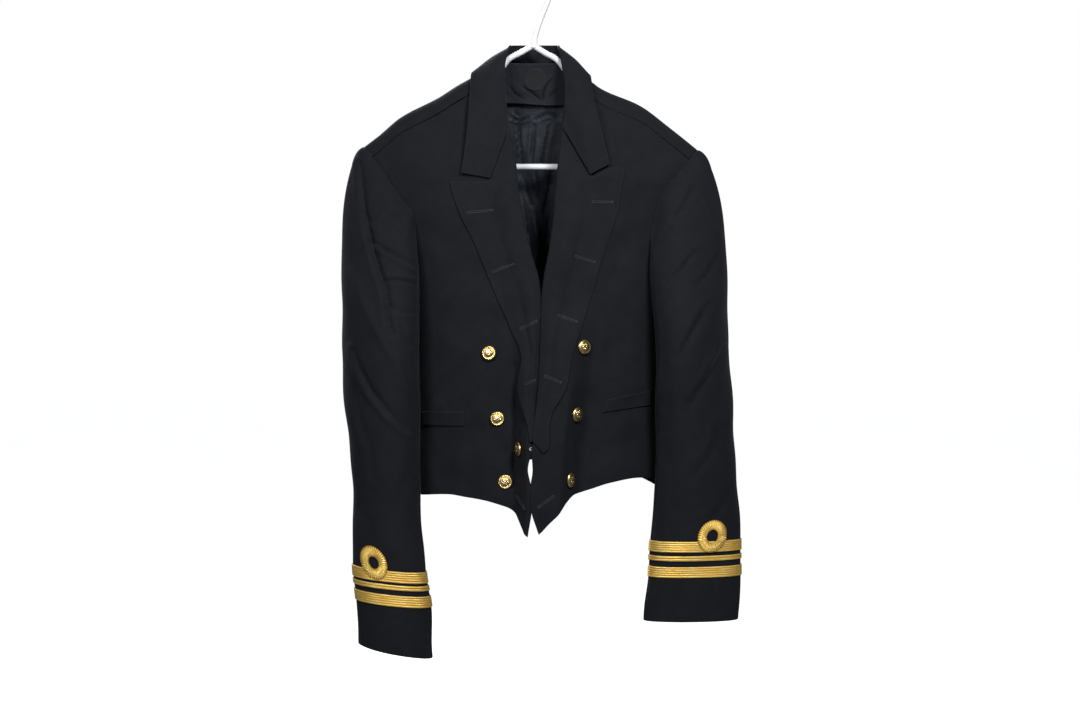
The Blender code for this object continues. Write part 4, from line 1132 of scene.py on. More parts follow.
def wall_object(name, outer, inner, material, loop=False, marks=None, free=(1, 1, 1, 1)):
    """A closed wall between two grids; loop joins the last column to the first."""
    rows, columns, _ = outer.shape
    count = rows * columns
    last = columns if loop else columns - 1
    strip = 0.002
    u, v = lengths(outer, loop)

    def at(row, column):
        return row * columns + column % columns

    def rim(a, b, c, d, deep, turned):
        """The strip between the skins along an edge, from its points (a, b) to the next ones (c, d)."""
        quads = np.stack([at(a, b), at(c, d), at(c, d) + count, at(a, b) + count], axis=1)
        here = np.stack([u[a, b], v[a, b]], axis=-1)
        there = np.stack([u[c, d], v[c, d]], axis=-1)
        flat = np.stack([here, there, there + deep, here + deep], axis=1)
        faces.append(quads[:, ::-1] if turned else quads)
        maps.append(flat[:, ::-1] if turned else flat)

    i, j = np.meshgrid(np.arange(rows - 1), np.arange(last), indexing="ij")
    i, j = i.ravel(), j.ravel()
    corners = ((i, j), (i, j + 1), (i + 1, j + 1), (i + 1, j))
    quads = np.stack([at(a, b) for a, b in corners], axis=1)
    flat = np.stack([np.stack([u[a, b], v[a, b]], axis=-1) for a, b in corners], axis=1)
    faces = [quads, (quads + count)[:, ::-1]]
    maps = [flat, flat[:, ::-1]]
    j = np.arange(last)
    for row, turned in ((0, True), (rows - 1, False)):
        rim(row, j, row, j + 1, (0, strip), turned)
    if not loop:
        i = np.arange(rows - 1)
        for column, turned in ((0, False), (columns - 1, True)):
            rim(i, column, i + 1, column, (strip, 0), turned)
    faces = np.concatenate(faces)
    maps = np.concatenate(maps)
    points = np.concatenate([outer.reshape(-1, 3), inner.reshape(-1, 3)])
    a, b, c, d = (points[faces[:, k]] for k in range(4))
    volume = (a * np.cross(b, c)).sum() + (a * np.cross(c, d)).sum()
    if volume < 0:
        faces = faces[:, ::-1]
        maps = maps[:, ::-1]
    edge = edge_distance(u, v, loop, free)[:, :columns]
    both = {"edge": np.concatenate([edge.ravel(), edge.ravel()])}
    for key, values in (marks or {}).items():
        both[key] = np.concatenate([values.ravel(), values.ravel()])
    return mesh_object(name, points, faces, maps, material, both)


def cut_size(grid):
    """Width, length and area in metres of the flat cut that a grid was, its sides rounded up to 5 mm."""
    step = 0.005
    u, v = lengths(grid, False)
    width = math.ceil(float(u[:, -1].max()) / step) * step
    length = math.ceil(float(v[-1].max()) / step) * step
    one = grid[1:, 1:] - grid[:-1, :-1]
    two = grid[1:, :-1] - grid[:-1, 1:]
    area = float(np.linalg.norm(np.cross(one, two), axis=-1).sum() / 2) * MM * MM
    return (width, length), area


def cloth_piece(name, grid, normal, material, nodes, low=None, high=0.0, free=(1, 1, 1, 1),
                rests_on=("hanger_look",), with_pieces=(), slot="wool", held="hung"):
    """A sheet of cloth with round edges between two distances off a grid, riding where its nodes are."""
    low = -sizes().wall / MM if low is None else low
    wall = float(np.max(np.asarray(high) - np.asarray(low)))
    u, v = lengths(grid, False)
    draw = rounded(edge_distance(u, v, False), wall)
    high = np.broadcast_to(high, draw.shape) - draw
    low = np.broadcast_to(low, draw.shape) + draw
    middle = (high + low) / 2
    least = 0.02
    outer = grid + normal * np.maximum(high, middle + least)[..., None]
    inner = grid + normal * np.minimum(low, middle - least)[..., None]
    obj = wall_object(name, outer, inner, finish(material), free=free)
    placed(obj, slot, *nodes)
    flat, area = cut_size(grid)
    return obj


def placed(obj, slot, *nodes):
    """Rides on the one body and stands for its nodes, which it hides; the slot is not used."""
    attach(obj, "root")
    if nodes:
        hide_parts(*nodes)
    return obj


def tube_grid(path, radius, sides, closed):
    """Points round a path that lies in one upright plane."""
    path = np.array(path, float)
    ahead = np.roll(path, -1, 0) - np.roll(path, 1, 0) if closed else np.gradient(path, axis=0)
    ahead /= np.linalg.norm(ahead, axis=1, keepdims=True)
    one = np.array([0, 1.0, 0])
    two = np.cross(ahead, one)
    two /= np.linalg.norm(two, axis=1, keepdims=True)
    turn = np.arange(sides) * 2 * math.pi / sides
    radius = np.broadcast_to(radius, len(path))
    return path[:, None] + radius[:, None, None] * (
        np.cos(turn)[None, :, None] * one + np.sin(turn)[None, :, None] * two[:, None]
    )


def tube_mesh(grid, closed):
    """Faces and cloth map of a tube's grid."""
    rows, sides, _ = grid.shape
    u, v = lengths(grid, True)
    i, j = np.meshgrid(np.arange(rows if closed else rows - 1), np.arange(sides), indexing="ij")
    i, j = i.ravel(), j.ravel()
    up = (i + 1) % rows
    corners = ((i, j), (up, j), (up, j + 1), (i, j + 1))
    quads = np.stack([a * sides + b % sides for a, b in corners], axis=1)
    flat = np.stack([np.stack([v[a, b], u[a, b]], axis=-1) for a, b in corners], axis=1)
    return quads, flat


def tubes_object(name, tubes, material, sharp=50.0):
    """One mesh of several tubes, each a grid and whether its ends meet."""
    points, faces, maps, start = [], [], [], 0
    for grid, closed in tubes:
        quads, flat = tube_mesh(grid, closed)
        faces.append(quads + start)
        maps.append(flat)
        points.append(grid.reshape(-1, 3))
        start += grid.shape[0] * grid.shape[1]
    parts = [np.concatenate(values) for values in (points, faces, maps)]
    return mesh_object(name, *parts, finish(material), sharp=sharp)


# Operators

class PieceOperator:
    """What the operators of the jacket's pieces share."""

    bl_options = {"REGISTER", "UNDO"}

    def execute(self, context):
        self.make()
        return {"FINISHED"}


class JACKET_OT_fronts(PieceOperator, bpy.types.Operator):
    """Makes the two fronts of the jacket"""

    bl_idname = "jacket.fronts"
    bl_label = "Fronts"

    def make(self):
        for side, name in SIDES:
            grid = front_grid(side)
            normal = outward(grid, normals(grid), (0, 0, -420))
            cloth_piece(f"front_{name}_look", grid, normal, "wool", [f"front_{name}"], free=(1, 0, 1, 0))


class JACKET_OT_back(PieceOperator, bpy.types.Operator):
    """Makes the back, its lining, the neck facing and the bare neck label"""

    bl_idname = "jacket.back"
    bl_label = "Back, lining and label"

    def make(self):
        grid = back_grid()
        normal = outward(grid, normals(grid), (0, -40, -420))
        cloth_piece("back_look", grid, normal, "wool", ["back"], free=(1, 0, 0, 0))
        self.lining()
        self.facing()
        self.label()

    def inside(self, x, z, off):
        """The inside of the back at (x, z), a distance in front of its skin."""
        right, left = (body_y(side, BACK, x, z, waves=False) for side in (RIGHT, LEFT))
        return np.stack([x, np.where(x < 0, right, left) - off, z], axis=-1)

    def sheet(self, name, grid, material, node, thick, **more):
        """A sheet inside the back, its normals towards the front."""
        normal = -outward(grid, normals(grid), (0, -400, -420))
        cloth_piece(name, grid, normal, material, [node], low=-thick / 2, high=thick / 2, **more)

    def lining(self):
        rows, share = lines_of("lining")
        rows = crowded(rows, 0.75, 0.55)
        share = crowded(share, 0.5, 0.62)
        z = LINING["low"] + (LINING["high"] - LINING["low"]) * rows
        half = 0.93 * BODY[RIGHT].at("back_width", z) - 10
        half = np.minimum(half, 60 + 1.05 * np.maximum(-128 - z, 0))
        x = half * (2 * share - 1) + 0 * z
        z = z + 0 * x
        fold = folds_at(x, z, LINING_FOLDS) + 0.35 * waves_at(x * 1.6, z * 0.8, LINING_WAVES)
        calm = smooth(0, 0.06, rows) * smooth(0, 0.08, share) * (1 - smooth(0.92, 1, share))
        fold = np.minimum(fold, LINING["deepest"]) * calm
        grid = self.inside(x, z, LINING["off"]) + np.stack([0 * x, fold, 0 * z], axis=-1)
        self.sheet(
            "back_lining_look", grid, "satin", "back_lining", 0.7, slot="satin", rests_on=["back_look"],
        )

    def ripple(self, x, z):
        return 0.6 * np.sin(x / 11 + z / 23)

    def facing(self):
        rows, share = lines_of("facing")
        x = FACING["side"] + FACING["width"] * share + 0 * rows
        top = np.minimum(FACING["top"] - 3 * smooth(30, 70, np.abs(x - 3)), RIDGE.at("z", x) - 9)
        low = FACING["low"] - 1.5 * np.sin(x / 17) + 0 * rows
        z = low + (top - low) * rows
        lift = 3.0 * (1 - smooth(0, 0.22, rows)) + self.ripple(x, z) - folds_at(x, z, FACING_FOLDS)
        grid = self.inside(x, z, FACING["off"] + lift)
        self.sheet("neck_facing_look", grid, "facing_wool", "back_lining", 1.0, rests_on=["back_look"])

    def label(self):
        """A round patch: the square of its mesh lines drawn into a disc."""
        up, across = (2 * share - 1 for share in lines_of("label"))
        x = LABEL["x"] + LABEL["radius"] * across * np.sqrt(1 - up**2 / 2)
        z = LABEL["z"] + LABEL["radius"] * up * np.sqrt(1 - across**2 / 2)
        lift = self.ripple(x, z) + 1.1 + 0.25 * np.sin(x / 5 + 1)
        grid = self.inside(x, z, FACING["off"] + lift)
        self.sheet(
            "neck_label_look", grid, "label", "neck_label", 0.5, slot="label",
            rests_on=["neck_facing_look"], held="laid",
        )


class JACKET_OT_lapels(PieceOperator, bpy.types.Operator):
    """Makes the lapels with their roll round the front edges"""

    bl_idname = "jacket.lapels"
    bl_label = "Lapels"

    def make(self):
        for side, name in SIDES:
            grid, normal = self.shape(side)
            half = sizes().wall / MM / 2
            cloth_piece(
                f"lapel_{name}_look", grid, normal, "lapel_wool_painted_sheen", [f"lapel_{name}"], low=-half, high=half,
                rests_on=[f"front_{name}_look"], held="folded",
            )

    def shape(self, side):
        """The middle of a lapel's cloth, round the roll and over the front, and its normals."""
        wall = sizes().wall / MM
        radius = roll_radius()
        roll = [p for p in EDGE[side] if LAPEL_LOW - 4 < p[1] < LAPEL_HIGH]
        roll[0] = (roll[0][0], LAPEL_LOW)
        v = edged(140, 400)
        f = np.concatenate([
            np.linspace(0, 0.1, 7)[:-1], np.linspace(0.1, 0.965, 34), [0.978, 0.988, 0.995, 1.0],
        ])
        inner = along_line(tucked(side, roll, radius), v)[:, None, :]
        outer = along_line(LAPEL_EDGE[side], v)[:, None, :]
        xz = inner + (outer - inner) * f[None, :, None]
        top = along_line(LAPEL_TOP[side], f)
        xz += (top - xz[-1])[None] * (smooth(0.68, 1, v) ** 1.6)[:, None, None]
        skin = on_front(side, xz)
        normal = outward(skin, normals(skin), (0, 0, -420))
        rise = np.clip(v * 3, 0, 1) - smooth(0.8, 0.97, v)
        lift = sizes().roll / MM * np.sin(math.pi * np.clip(f / 0.5, 0, 1))[None, :] * rise[:, None]
        lift = lift + 0.35 * np.sin(v * 31)[:, None] * smooth(0.5, 1, f)[None, :] * rise[:, None]
        loose = LOOSE_EDGE[side] * np.exp(-(((v - 0.2) / 0.13) ** 2)) * np.clip(v * 12, 0, 1)
        lift = lift + loose[:, None] * smooth(0.25, 1, f)[None, :]
        middle = radius - wall
        flat = skin + normal * (middle + lift)[..., None]
        centre = skin[:, 0] - normal[:, 0] * wall / 2
        aside = -(skin[:, 3] - skin[:, 0])
        aside -= (aside * normal[:, 0]).sum(-1, keepdims=True) * normal[:, 0]
        aside /= np.linalg.norm(aside, axis=-1, keepdims=True)
        turn = np.radians(np.linspace(172, 0, 13)[:-1])[None, :, None]
        reach = radius - wall / 2
        about = centre[:, None] + reach * (aside[:, None] * np.sin(turn) + normal[:, :1] * np.cos(turn))
        grid = np.concatenate([about, flat], axis=1)
        facing = normals(grid)
        if facing[:, 20:, 1].sum() > 0:
            facing = -facing
        return grid, facing


class JACKET_OT_collar(PieceOperator, bpy.types.Operator):
    """Makes the collar: stand, crease and fall in one"""

    bl_idname = "jacket.collar"
    bl_label = "Collar"

    def make(self):
        sections = np.array(COLLAR, float)
        across = np.concatenate([
            [0, 0.01, 0.025, 0.05], np.linspace(0.08, 0.27, 7), np.linspace(0.285, 0.385, 11),
            np.linspace(0.41, 0.655, 11), np.linspace(2 / 3, 0.96, 12), [0.975, 0.987, 0.995, 1.0],
        ])
        keys = np.array([0, 1 / 3, 2 / 3, 1])
        profile = np.array([[through(keys, row[:, k], across) for k in range(3)] for row in sections])
        for end in (0, -1):
            profile[end] = [np.interp(across, keys, sections[end][:, k]) for k in range(3)]
        rows = edged(150, 430)
        places = np.linspace(0, 1, len(sections))
        lines = [
            np.stack([through(places, profile[:, k, j], rows) for k in range(3)], axis=-1)
            for j in range(len(across))
        ]
        grid = np.stack(lines, axis=1)
        clear = sizes().wall / MM + 0.65
        fall = (across >= 0.39)[None, :]
        for side in (RIGHT, LEFT):
            mask = ((grid[..., 0] < 0) if side == RIGHT else (grid[..., 0] >= 0)) & fall
            front = body_y(side, FRONT, grid[..., 0], grid[..., 2], clear)
            back = body_y(side, BACK, grid[..., 0], grid[..., 2], clear)
            low = grid[..., 2] < RIDGE.at("z", grid[..., 0]) + clear
            ahead = grid[..., 1] < 0
            grid[..., 1] = np.where(mask & low & ahead, np.minimum(grid[..., 1], front), grid[..., 1])
            grid[..., 1] = np.where(mask & low & ~ahead, np.maximum(grid[..., 1], back), grid[..., 1])
        normal = normals(grid)
        middle = len(rows) // 2
        spot = grid[middle, -6]
        if (normal[middle, -6] * (spot - np.array([3, 0, spot[2]]))).sum() < 0:
            normal = -normal
        cloth_piece(
            "collar_look", grid, normal, "lapel_wool_painted_sheen", ["collar"], rests_on=["back_look"], held="folded",
        )


class JACKET_OT_sleeves(PieceOperator, bpy.types.Operator):
    """Makes both sleeves with the gold lace and curls of their cuffs"""

    bl_idname = "jacket.sleeves"
    bl_label = "Sleeves and gold lace"

    def make(self):
        for side, name in SIDES:
            caps = np.concatenate([[0, 0.0015, 0.004, 0.008], np.linspace(0.016, 1, CAP_LINES + 1)[:-1]])
            down = np.concatenate([np.linspace(0, 0.985, CUFF_LINES), [0.992, 0.996, 0.9985, 1.0]])
            levels = CAP_END + (CUFF[side] - CAP_END) * down
            top = np.linspace(-SLEEVE_SEAM, SLEEVE_SEAM, TOP_LINES)
            under = np.linspace(SLEEVE_SEAM, 360 - SLEEVE_SEAM, UNDER_LINES)
            made = {}
            for part, angles in (("top", top), ("under", under)):
                angles = np.where(angles > 180, angles - 360, angles)
                grid = sleeve_grid(side, angles, caps, levels)
                made[part] = grid, sleeve_normals(side, grid)
            trim = self.lace(side, name)
            skin, facing = made["top"]
            shape = wall_object("sleeve_shape", skin, skin - facing, finish("wool"))
            trim.append(self.curl(side, name, surface_tree("sleeve_shape")))
            bpy.data.objects.remove(shape)
            for part, (grid, normal) in made.items():
                cloth_piece(
                    f"sleeve_{name}_{part}_look", grid, normal, "wool", [f"sleeve_{name}_{part}"],
                    free=(0, 1, 0, 0), with_pieces=trim if part == "top" else (),
                    rests_on=[f"front_{name}_look", "back_look"],
                )

    def lace(self, side, name):
        """The rings of a cuff, their ribs raised in the lace."""
        angles = np.linspace(-180, 180, 205)[:-1]
        made = []
        for part, middle, half, ribs in LACE[side]:
            across = np.linspace(-1, 1, 8 * ribs + 5)
            grid = sleeve_grid(side, angles, (), middle - half * across)
            normal = outward(grid, normals(grid, True), grid.mean(axis=(0, 1)))
            rib = np.abs(np.sin(math.pi * ribs * (across + 1) / 2)) ** 0.6
            height = 0.75 + 0.5 * rib - 0.5 * smooth(0.94, 1.0, np.abs(across))
            rib = np.repeat(rib[:, None], len(angles), axis=1)
            outer = grid + normal * (0.25 + height[:, None, None])
            obj = wall_object(
                f"lace_{name}_{part}_look", outer, grid + normal * 0.2, finish("gold_lace"), loop=True,
                marks={"rib": rib},
            )
            made.append(placed(obj, "gold_lace", f"lace_{name}_{part}"))
        return made

    def curl(self, side, name, tree):
        """The curl of a cuff, pleated round its eye and laid on the sleeve and the upper lace."""
        row = CURL[side]
        turn = np.arange(320) * 2 * math.pi / 320
        share = np.linspace(0, 1, 15)[:, None]
        pleat = np.abs(np.sin(turn * CURL_PLEATS + 1.2 * share))
        flute = 0.55 * pleat * share**3
        wide = row["inner"][0] + (row["outer"][0] - row["inner"][0]) * share + flute
        tall = row["inner"][1] + (row["outer"][1] - row["inner"][1]) * share + flute
        z = row["z"] + tall * np.sin(turn)
        x = row["x"] + wide * np.cos(turn) - row["lean"] * (z - row["z"])
        grid = np.array([[dropped([tree], a, b)[0] for a, b in zip(*pair)] for pair in zip(x, z)])
        normal = outward(grid, normals(grid, True), (row["x"], 0, row["z"]))
        top = LACE[side][0][1] + LACE[side][0][2]
        over = 1.2 * smooth(top + 6, top + 1.0, z)
        crown = np.sin(math.pi * np.clip(share, 0.04, 0.96)) ** 0.5
        raised = pleat**0.6 * crown
        height = 0.4 + 0.6 * crown + 0.75 * raised
        obj = wall_object(
            f"curl_{name}_look", grid + normal * (0.25 + over + height)[..., None],
            grid + normal * (0.1 + over)[..., None], finish("gold_curl"), loop=True,
            marks={"rib": 0.1 + 0.9 * raised},
        )
        return placed(obj, "gold_lace", f"curl_{name}")


def surface_tree(name):
    """The surface of a piece, to drop points on."""
    mesh = bpy.data.objects[name].data
    points = np.empty(len(mesh.vertices) * 3)
    mesh.vertices.foreach_get("co", points)
    corners = np.empty(len(mesh.loops), np.int32)
    mesh.loops.foreach_get("vertex_index", corners)
    return BVHTree.FromPolygons(points.reshape(-1, 3).tolist(), corners.reshape(-1, 4).tolist())


def dropped(trees, x, z):
    """The first cloth behind (x, z) as seen from the front, and the way it faces."""
    best = None
    for tree in trees:
        hit, facing, _, _ = tree.ray_cast(Vector((x * MM, -0.4, z * MM)), Vector((0, 1, 0)))
        if hit and (best is None or hit.y < best[0].y):
            best = (hit, facing if facing.y < 0 else -facing)
    if best is None:
        raise RuntimeError(f"there is no cloth at {x:.1f}, {z:.1f}")
    return np.array(best[0]) / MM, np.array(best[1])


class JACKET_OT_welts(PieceOperator, bpy.types.Operator):
    """Makes the welts of the pockets"""

    bl_idname = "jacket.welts"
    bl_label = "Pocket welts"

    def make(self):
        for side, name in SIDES:
            outer_top, inner_top, inner_low, outer_low = (np.array(p) for p in WELTS[side])
            v, f = (share[..., None] for share in lines_of("welt"))
            low = inner_low + (outer_low - inner_low) * f
            top = inner_top + (outer_top - inner_top) * f
            grid = on_front(side, low * (1 - v) + top * v)
            normal = outward(grid, normals(grid), (0, 0, -420))
            lift = 0.5 * smooth(0.6, 1.0, v[..., 0]) * np.sin(math.pi * f[..., 0])
            cloth_piece(
                f"pocket_welt_{name}_look", grid + normal * lift[..., None], normal, "wool",
                [f"pocket_welt_{name}"], low=0.15, high=1.8, rests_on=[f"front_{name}_look"], held="laid",
            )


class JACKET_OT_buttonholes(PieceOperator, bpy.types.Operator):
    """Makes the worked buttonholes of the lapels and fronts"""

    bl_idname = "jacket.buttonholes"
    bl_label = "Buttonholes"

    def make(self):
        for side, name in SIDES:
            trees = [surface_tree(f"lapel_{name}_look"), surface_tree(f"front_{name}_look")]
            tubes = []
            for x0, z0, x1, z1 in BUTTONHOLES[side]:
                tubes += self.hole(trees, np.array([x0, z0]), np.array([x1, z1]))
            placed(tubes_object(f"buttonholes_{name}_look", tubes, "buttonhole_thread", 80.0), "wool")

    def hole(self, trees, start, end):
        """Two rows of purls round a slit, and a bar tack at its far end."""
        run = end - start
        long = np.linalg.norm(run)
        run /= long
        aside = np.array([-run[1], run[0]])
        half = 0.95
        turn = np.linspace(math.pi / 2, 3 * math.pi / 2, 9)
        line = [start + run * (half + half * math.cos(a)) + aside * half * math.sin(a) * 1.25 for a in turn]
        far = [end - run * half - run * half * math.cos(a) - aside * half * math.sin(a) for a in turn]
        steps = np.linspace(0, 1, 64)[1:-1]
        low = [line[-1] + (far[0] - line[-1]) * t for t in steps]
        high = [far[-1] + (line[0] - far[-1]) * t for t in steps]
        flat = np.array(line + low + far + high)
        purl = 0.46 + 0.12 * np.sin(np.arange(len(flat)) * 2.6)
        tack = np.array([end - run * 0.2 + aside * t for t in np.linspace(-1.9, 1.9, 12)])
        bar = 0.6 + 0.1 * np.cos(np.arange(12) * 2.2) - 0.35 * np.abs(np.linspace(-1, 1, 12)) ** 6
        return [
            (self.laid(trees, flat, purl, 0.1, True), True),
            (self.laid(trees, tack, bar, 0.45, False), False),
        ]

    def laid(self, trees, flat, radius, off, closed):
        """A tube along points seen from the front, laid on the cloth."""
        spots = [dropped(trees, x, z) for x, z in flat]
        path = np.array([p + n * off for p, n in spots])
        facing = np.array([n for _, n in spots])
        ahead = np.roll(path, -1, 0) - np.roll(path, 1, 0) if closed else np.gradient(path, axis=0)
        ahead /= np.maximum(np.linalg.norm(ahead, axis=1, keepdims=True), 1e-9)
        aside = np.cross(ahead, facing)
        aside /= np.maximum(np.linalg.norm(aside, axis=1, keepdims=True), 1e-9)
        turn = np.arange(8) * 2 * math.pi / 8
        return path[:, None] + radius[:, None, None] * (
            np.cos(turn)[None, :, None] * facing[:, None] + np.sin(turn)[None, :, None] * aside[:, None]
        )


class JACKET_OT_buttons(PieceOperator, bpy.types.Operator):
    """Makes the gilt buttons and the wire link between the front edges"""

    bl_idname = "jacket.buttons"
    bl_label = "Buttons and link"

    def make(self):
        for name, side, x, z, off in BUTTONS:
            here, facing = self.frame(side, x, z)
            self.button(name, here + facing * off, facing)
        self.link()

    def frame(self, side, x, z):
        """A point of the front's skin and the direction that it faces."""
        step = 3.0

        def y(across, up):
            return float(body_y(side, FRONT, np.array(across), np.array(up), waves=False))

        dx = y(x + step, z) - y(x - step, z)
        dz = y(x, z + step) - y(x, z - step)
        facing = np.array([dx / (2 * step), -1, dz / (2 * step)])
        return np.array([x, y(x, z), z]), facing / np.linalg.norm(facing)

    def button(self, name, centre, axis):
        """A domed button with a roped rim round a rosette, and its shank underneath."""
        one = np.cross(axis, [0, 0, 1.0])
        one /= np.linalg.norm(one)
        two = np.cross(axis, one)
        edge, end, rim_height = BUTTON["edge"], BUTTON["end"], BUTTON["rim"]
        petals, strands, sides = BUTTON["petals"], BUTTON["strands"], BUTTON["sides"]
        radii = np.concatenate([np.linspace(0.12, 8.2, 30), np.linspace(end, edge, 9)])
        turn = np.arange(sides) * 2 * math.pi / sides
        r, t = np.meshgrid(radii, turn, indexing="ij")
        dome = BUTTON["high"] - 1.7 * (r / 7.6) ** 2
        petal = 3.5 + 1.5 * np.abs(np.cos(petals * t)) ** 0.7
        rosette = 0.62 * (1 - smooth(petal - 0.7, petal, r)) * (0.45 + 0.55 * smooth(0.8, 2.2, r))
        rosette += 0.35 * (1 - smooth(0.9, 1.5, r))
        rosette -= 0.32 * np.exp(-((np.sin(petals * t) * r / 0.45) ** 2)) * (r > 1.3) * (r < 4.6)
        rope_at = np.exp(-(((r - BUTTON["rope"]) / 0.62) ** 2))
        rope = 0.85 * rope_at * (0.72 + 0.28 * np.sin(strands * t + 2.6 * (r - BUTTON["rope"])))
        line = 0.28 * np.exp(-(((r - BUTTON["line"]) / 0.22) ** 2))
        rim = smooth(end, edge, r)
        inside = np.maximum(dome, rim_height) + rosette + rope + line
        height = np.where(r < end, inside, rim_height + rope - 1.3 * rim**2)
        top = centre + axis * height[..., None] + r[..., None] * (
            np.cos(t)[..., None] * one + np.sin(t)[..., None] * two
        )
        under = ((edge * 0.97, 1.25), (7.4, 1.05), (2.3, 0.95), (2.0, 0.3), (0.12, 0.25))
        low = np.stack([
            centre + axis * h + radius * (np.cos(turn)[:, None] * one + np.sin(turn)[:, None] * two)
            for radius, h in under
        ])
        grid = np.concatenate([top, low])
        roped = rope_at * (0.45 + 0.4 * np.sin(strands * t))
        # How raised each point is: the gilt paints light on the raised parts and shade in the hollows from
        # it.
        worn = np.clip(rosette * 1.2 + roped + line * 2.2 + 0.35 + 0.3 * rim, 0, 1.2)
        raised = np.concatenate([worn, np.full((len(under), sides), 0.3)])
        quads, flat = tube_mesh(grid, False)
        tips = [centre + axis * (BUTTON["high"] + 0.62), centre + axis * 0.25]
        points = np.concatenate([grid.reshape(-1, 3), tips])
        count = len(points)
        first = [(a, (a + 1) % sides, count - 2) for a in range(sides)]
        start = (len(grid) - 1) * sides
        last = [(start + (a + 1) % sides, start + a, count - 1) for a in range(sides)]
        faces = [tuple(q) for q in quads.tolist()] + first + last
        maps = np.concatenate([flat.reshape(-1, 2), np.zeros((6 * sides, 2))])
        marks = {"raised": np.concatenate([raised.ravel(), [0.9, 0.3]])}
        obj = mesh_object(f"{name}_look", points, faces, maps, finish("gilt"), marks, sharp=60.0)
        self.face_out(obj)
        placed(obj, "gilt", name)

    def face_out(self, obj):
        """Turns the faces of a closed mesh outwards."""
        mesh = obj.data
        mesh.calc_loop_triangles()
        points = np.array([v.co for v in mesh.vertices])
        corners = np.array([t.vertices for t in mesh.loop_triangles])
        a, b, c = (points[corners[:, k]] - points.mean(axis=0) for k in range(3))
        if (a * np.cross(b, c)).sum() < 0:
            mesh.flip_normals()

    def link(self):
        y = self.frame(RIGHT, LINK["x"], LINK["z"])[0][1] - LINK["ahead"]
        middle = LINK["x"] + LINK["aside"]
        wide, tall = LINK["wide"], LINK["tall"]
        turn = np.arange(72) * 2 * math.pi / 72
        path = [(middle + wide * math.cos(a), y, LINK["z"] + tall * math.sin(a)) for a in turn]
        obj = tubes_object("link_look", [(tube_grid(path, LINK["wire"], 14, True), True)], "steel")
        self.face_out(obj)
        placed(obj, "steel", "link")


class JACKET_OT_hanger(PieceOperator, bpy.types.Operator):
    """Makes the plastic hanger"""

    bl_idname = "jacket.hanger"
    bl_label = "Hanger"

    def make(self):
        right, left = np.linspace(-190, -12, 60), np.linspace(12, 190, 60)
        across = np.concatenate([[-205], right, np.linspace(-9, 9, 9), left, [203]])
        arms = [(x, float(ARMS.at("z", x))) for x in across]
        bar = [(x, BAR) for x in np.linspace(190, -190, 60)]
        around = [*arms, *RIGHT_BEND, *bar, *LEFT_BEND, arms[0]]
        loop = along_line([(x, 0, z) for x, z in around], np.linspace(0, 1, 420)[:-1])
        turn = np.radians(np.linspace(-28, 205, 70))
        hook = [(HOOK_RADIUS * math.cos(a), HOOK_MIDDLE + HOOK_RADIUS * math.sin(a)) for a in turn]
        share = np.linspace(0, 1, 170)
        neck = along_line([(x, 0, z) for x, z in [*SHAFT, *hook]], share)
        thick = TUBE * (1 - (1 - np.clip((1 - share) / 0.012, 0, 1)) ** 2) ** 0.5
        thick = np.maximum(thick, 0.3) * (1 + 0.35 * (1 - smooth(0, 0.09, share)))
        sides = 18
        tubes = [(tube_grid(loop, TUBE, sides, True), True), (tube_grid(neck, thick, sides, False), False)]
        placed(tubes_object("hanger_look", tubes, "white_plastic", 70.0), "white_plastic", "hanger")


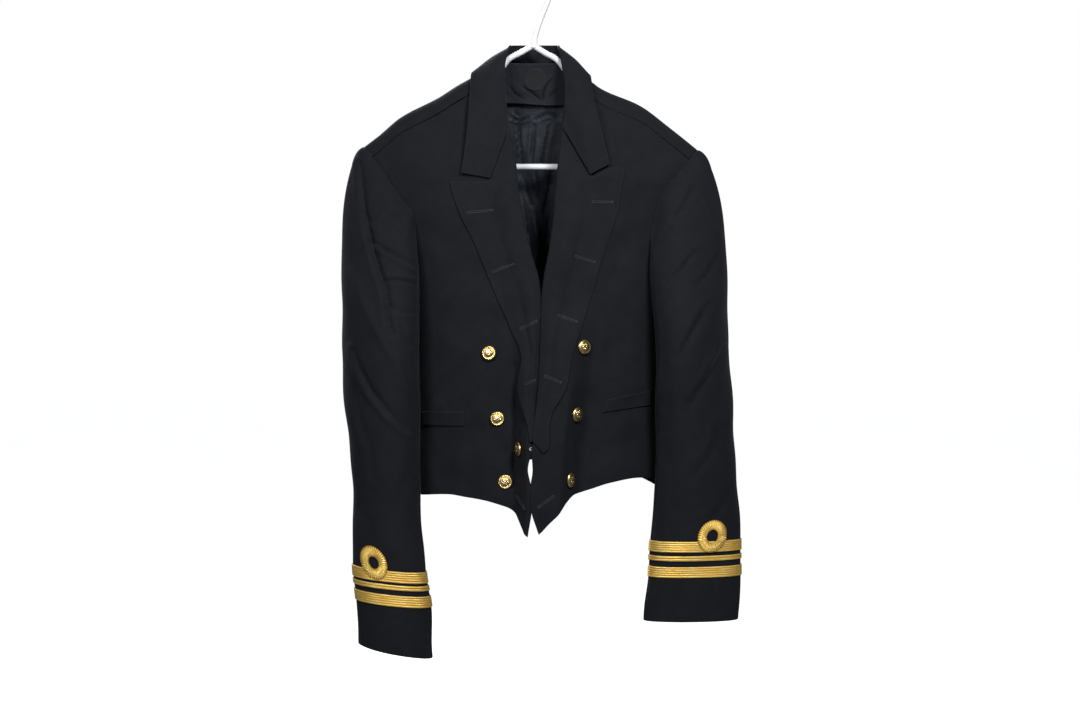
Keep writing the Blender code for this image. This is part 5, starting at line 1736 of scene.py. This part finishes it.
class JACKET_OT_stage(PieceOperator, bpy.types.Operator):
    """Makes the camera, the pale floor and the soft lights"""

    bl_idname = "jacket.stage"
    bl_label = "Stage"

    def make(self):
        bpy.context.scene.view_settings.view_transform = "Standard"
        self.camera()
        self.floor()
        self.world()
        for name, place, aim, size, share in LIGHTS:
            self.light(name, place, aim, size, sizes().light * share)

    def camera(self):
        camera = bpy.data.cameras.new("camera")
        camera.sensor_width = 36.0
        camera.lens = 36.0 * CAMERA["distance"] / CAMERA["across"]
        camera.clip_end = 60.0
        eye = bpy.data.objects.new("camera", camera)
        eye.location = (CAMERA["x"] * MM, -CAMERA["distance"] * MM, CAMERA["z"] * MM)
        eye.rotation_euler = (math.pi / 2, 0, 0)
        bpy.context.scene.collection.objects.link(eye)
        bpy.context.scene.camera = eye

    def floor(self):
        """A glowing pale floor that leaves the light on the jacket to the lamps."""
        size = 30.0
        steps = 12
        line = np.linspace(-size, size, steps) / MM
        x, y = np.meshgrid(line, line, indexing="ij")
        grid = np.stack([x, y, np.full_like(x, FLOOR)], axis=-1)
        i, j = (a.ravel() for a in np.meshgrid(np.arange(steps - 1), np.arange(steps - 1), indexing="ij"))
        first = i * steps + j
        quads = np.stack([first, first + steps, first + steps + 1, first + 1], axis=1)
        flat = grid.reshape(-1, 3)[quads][..., :2] * MM
        floor = mesh_object("floor", grid.reshape(-1, 3), quads, flat, finish("pale_floor"))
        floor.visible_diffuse = False
        floor.visible_glossy = False

    def world(self):
        """White to the camera, and a faint cool light all around for the rest."""
        world = bpy.data.worlds.new("studio")
        world.use_nodes = True
        nodes = world.node_tree.nodes
        links = world.node_tree.links
        seen = nodes["Background"]
        seen.inputs["Color"].default_value = (1.0, 1.0, 1.0, 1.0)
        around = nodes.new("ShaderNodeBackground")
        around.inputs["Color"].default_value = (0.95, 0.97, 1.0, 1.0)
        around.inputs["Strength"].default_value = AROUND
        rays = nodes.new("ShaderNodeLightPath")
        mixed = nodes.new("ShaderNodeMixShader")
        links.new(rays.outputs["Is Camera Ray"], mixed.inputs[0])
        links.new(around.outputs[0], mixed.inputs[1])
        links.new(seen.outputs[0], mixed.inputs[2])
        links.new(mixed.outputs[0], nodes["World Output"].inputs[0])
        bpy.context.scene.world = world

    def light(self, name, place, aim, size, power):
        data = bpy.data.lights.new(name, "AREA")
        data.shape = "DISK"
        data.size = size
        data.energy = power
        lamp = bpy.data.objects.new(name, data)
        lamp.location = place
        lamp.rotation_euler = (Vector(aim) - Vector(place)).to_track_quat("-Z", "Y").to_euler()
        bpy.context.scene.collection.objects.link(lamp)


class JACKET_PT_panel(bpy.types.Panel):
    """Lists the jacket's sizes and pieces"""

    bl_label = "Mess jacket"
    bl_idname = "JACKET_PT_panel"
    bl_space_type = "VIEW_3D"
    bl_region_type = "UI"
    bl_category = "Jacket"

    def draw(self, context):
        column = self.layout.column(align=True)
        for name in JacketSizes.__annotations__:
            column.prop(context.scene.mess_jacket, name)
        for piece in PIECES:
            self.layout.operator(piece.bl_idname)


PIECES = (
    JACKET_OT_stage, JACKET_OT_hanger, JACKET_OT_fronts, JACKET_OT_back, JACKET_OT_lapels, JACKET_OT_collar,
    JACKET_OT_sleeves, JACKET_OT_welts, JACKET_OT_buttonholes, JACKET_OT_buttons,
)
CLASSES = (JacketSizes, *PIECES, JACKET_PT_panel)


def register():
    for item in CLASSES:
        bpy.utils.register_class(item)
    bpy.types.Scene.mess_jacket = bpy.props.PointerProperty(type=JacketSizes)


def unregister():
    del bpy.types.Scene.mess_jacket
    for item in reversed(CLASSES):
        bpy.utils.unregister_class(item)


def main():
    register()
    for piece in PIECES:
        group, name = piece.bl_idname.split(".")
        getattr(getattr(bpy.ops, group), name)()


if __name__ == "__main__":
    main()
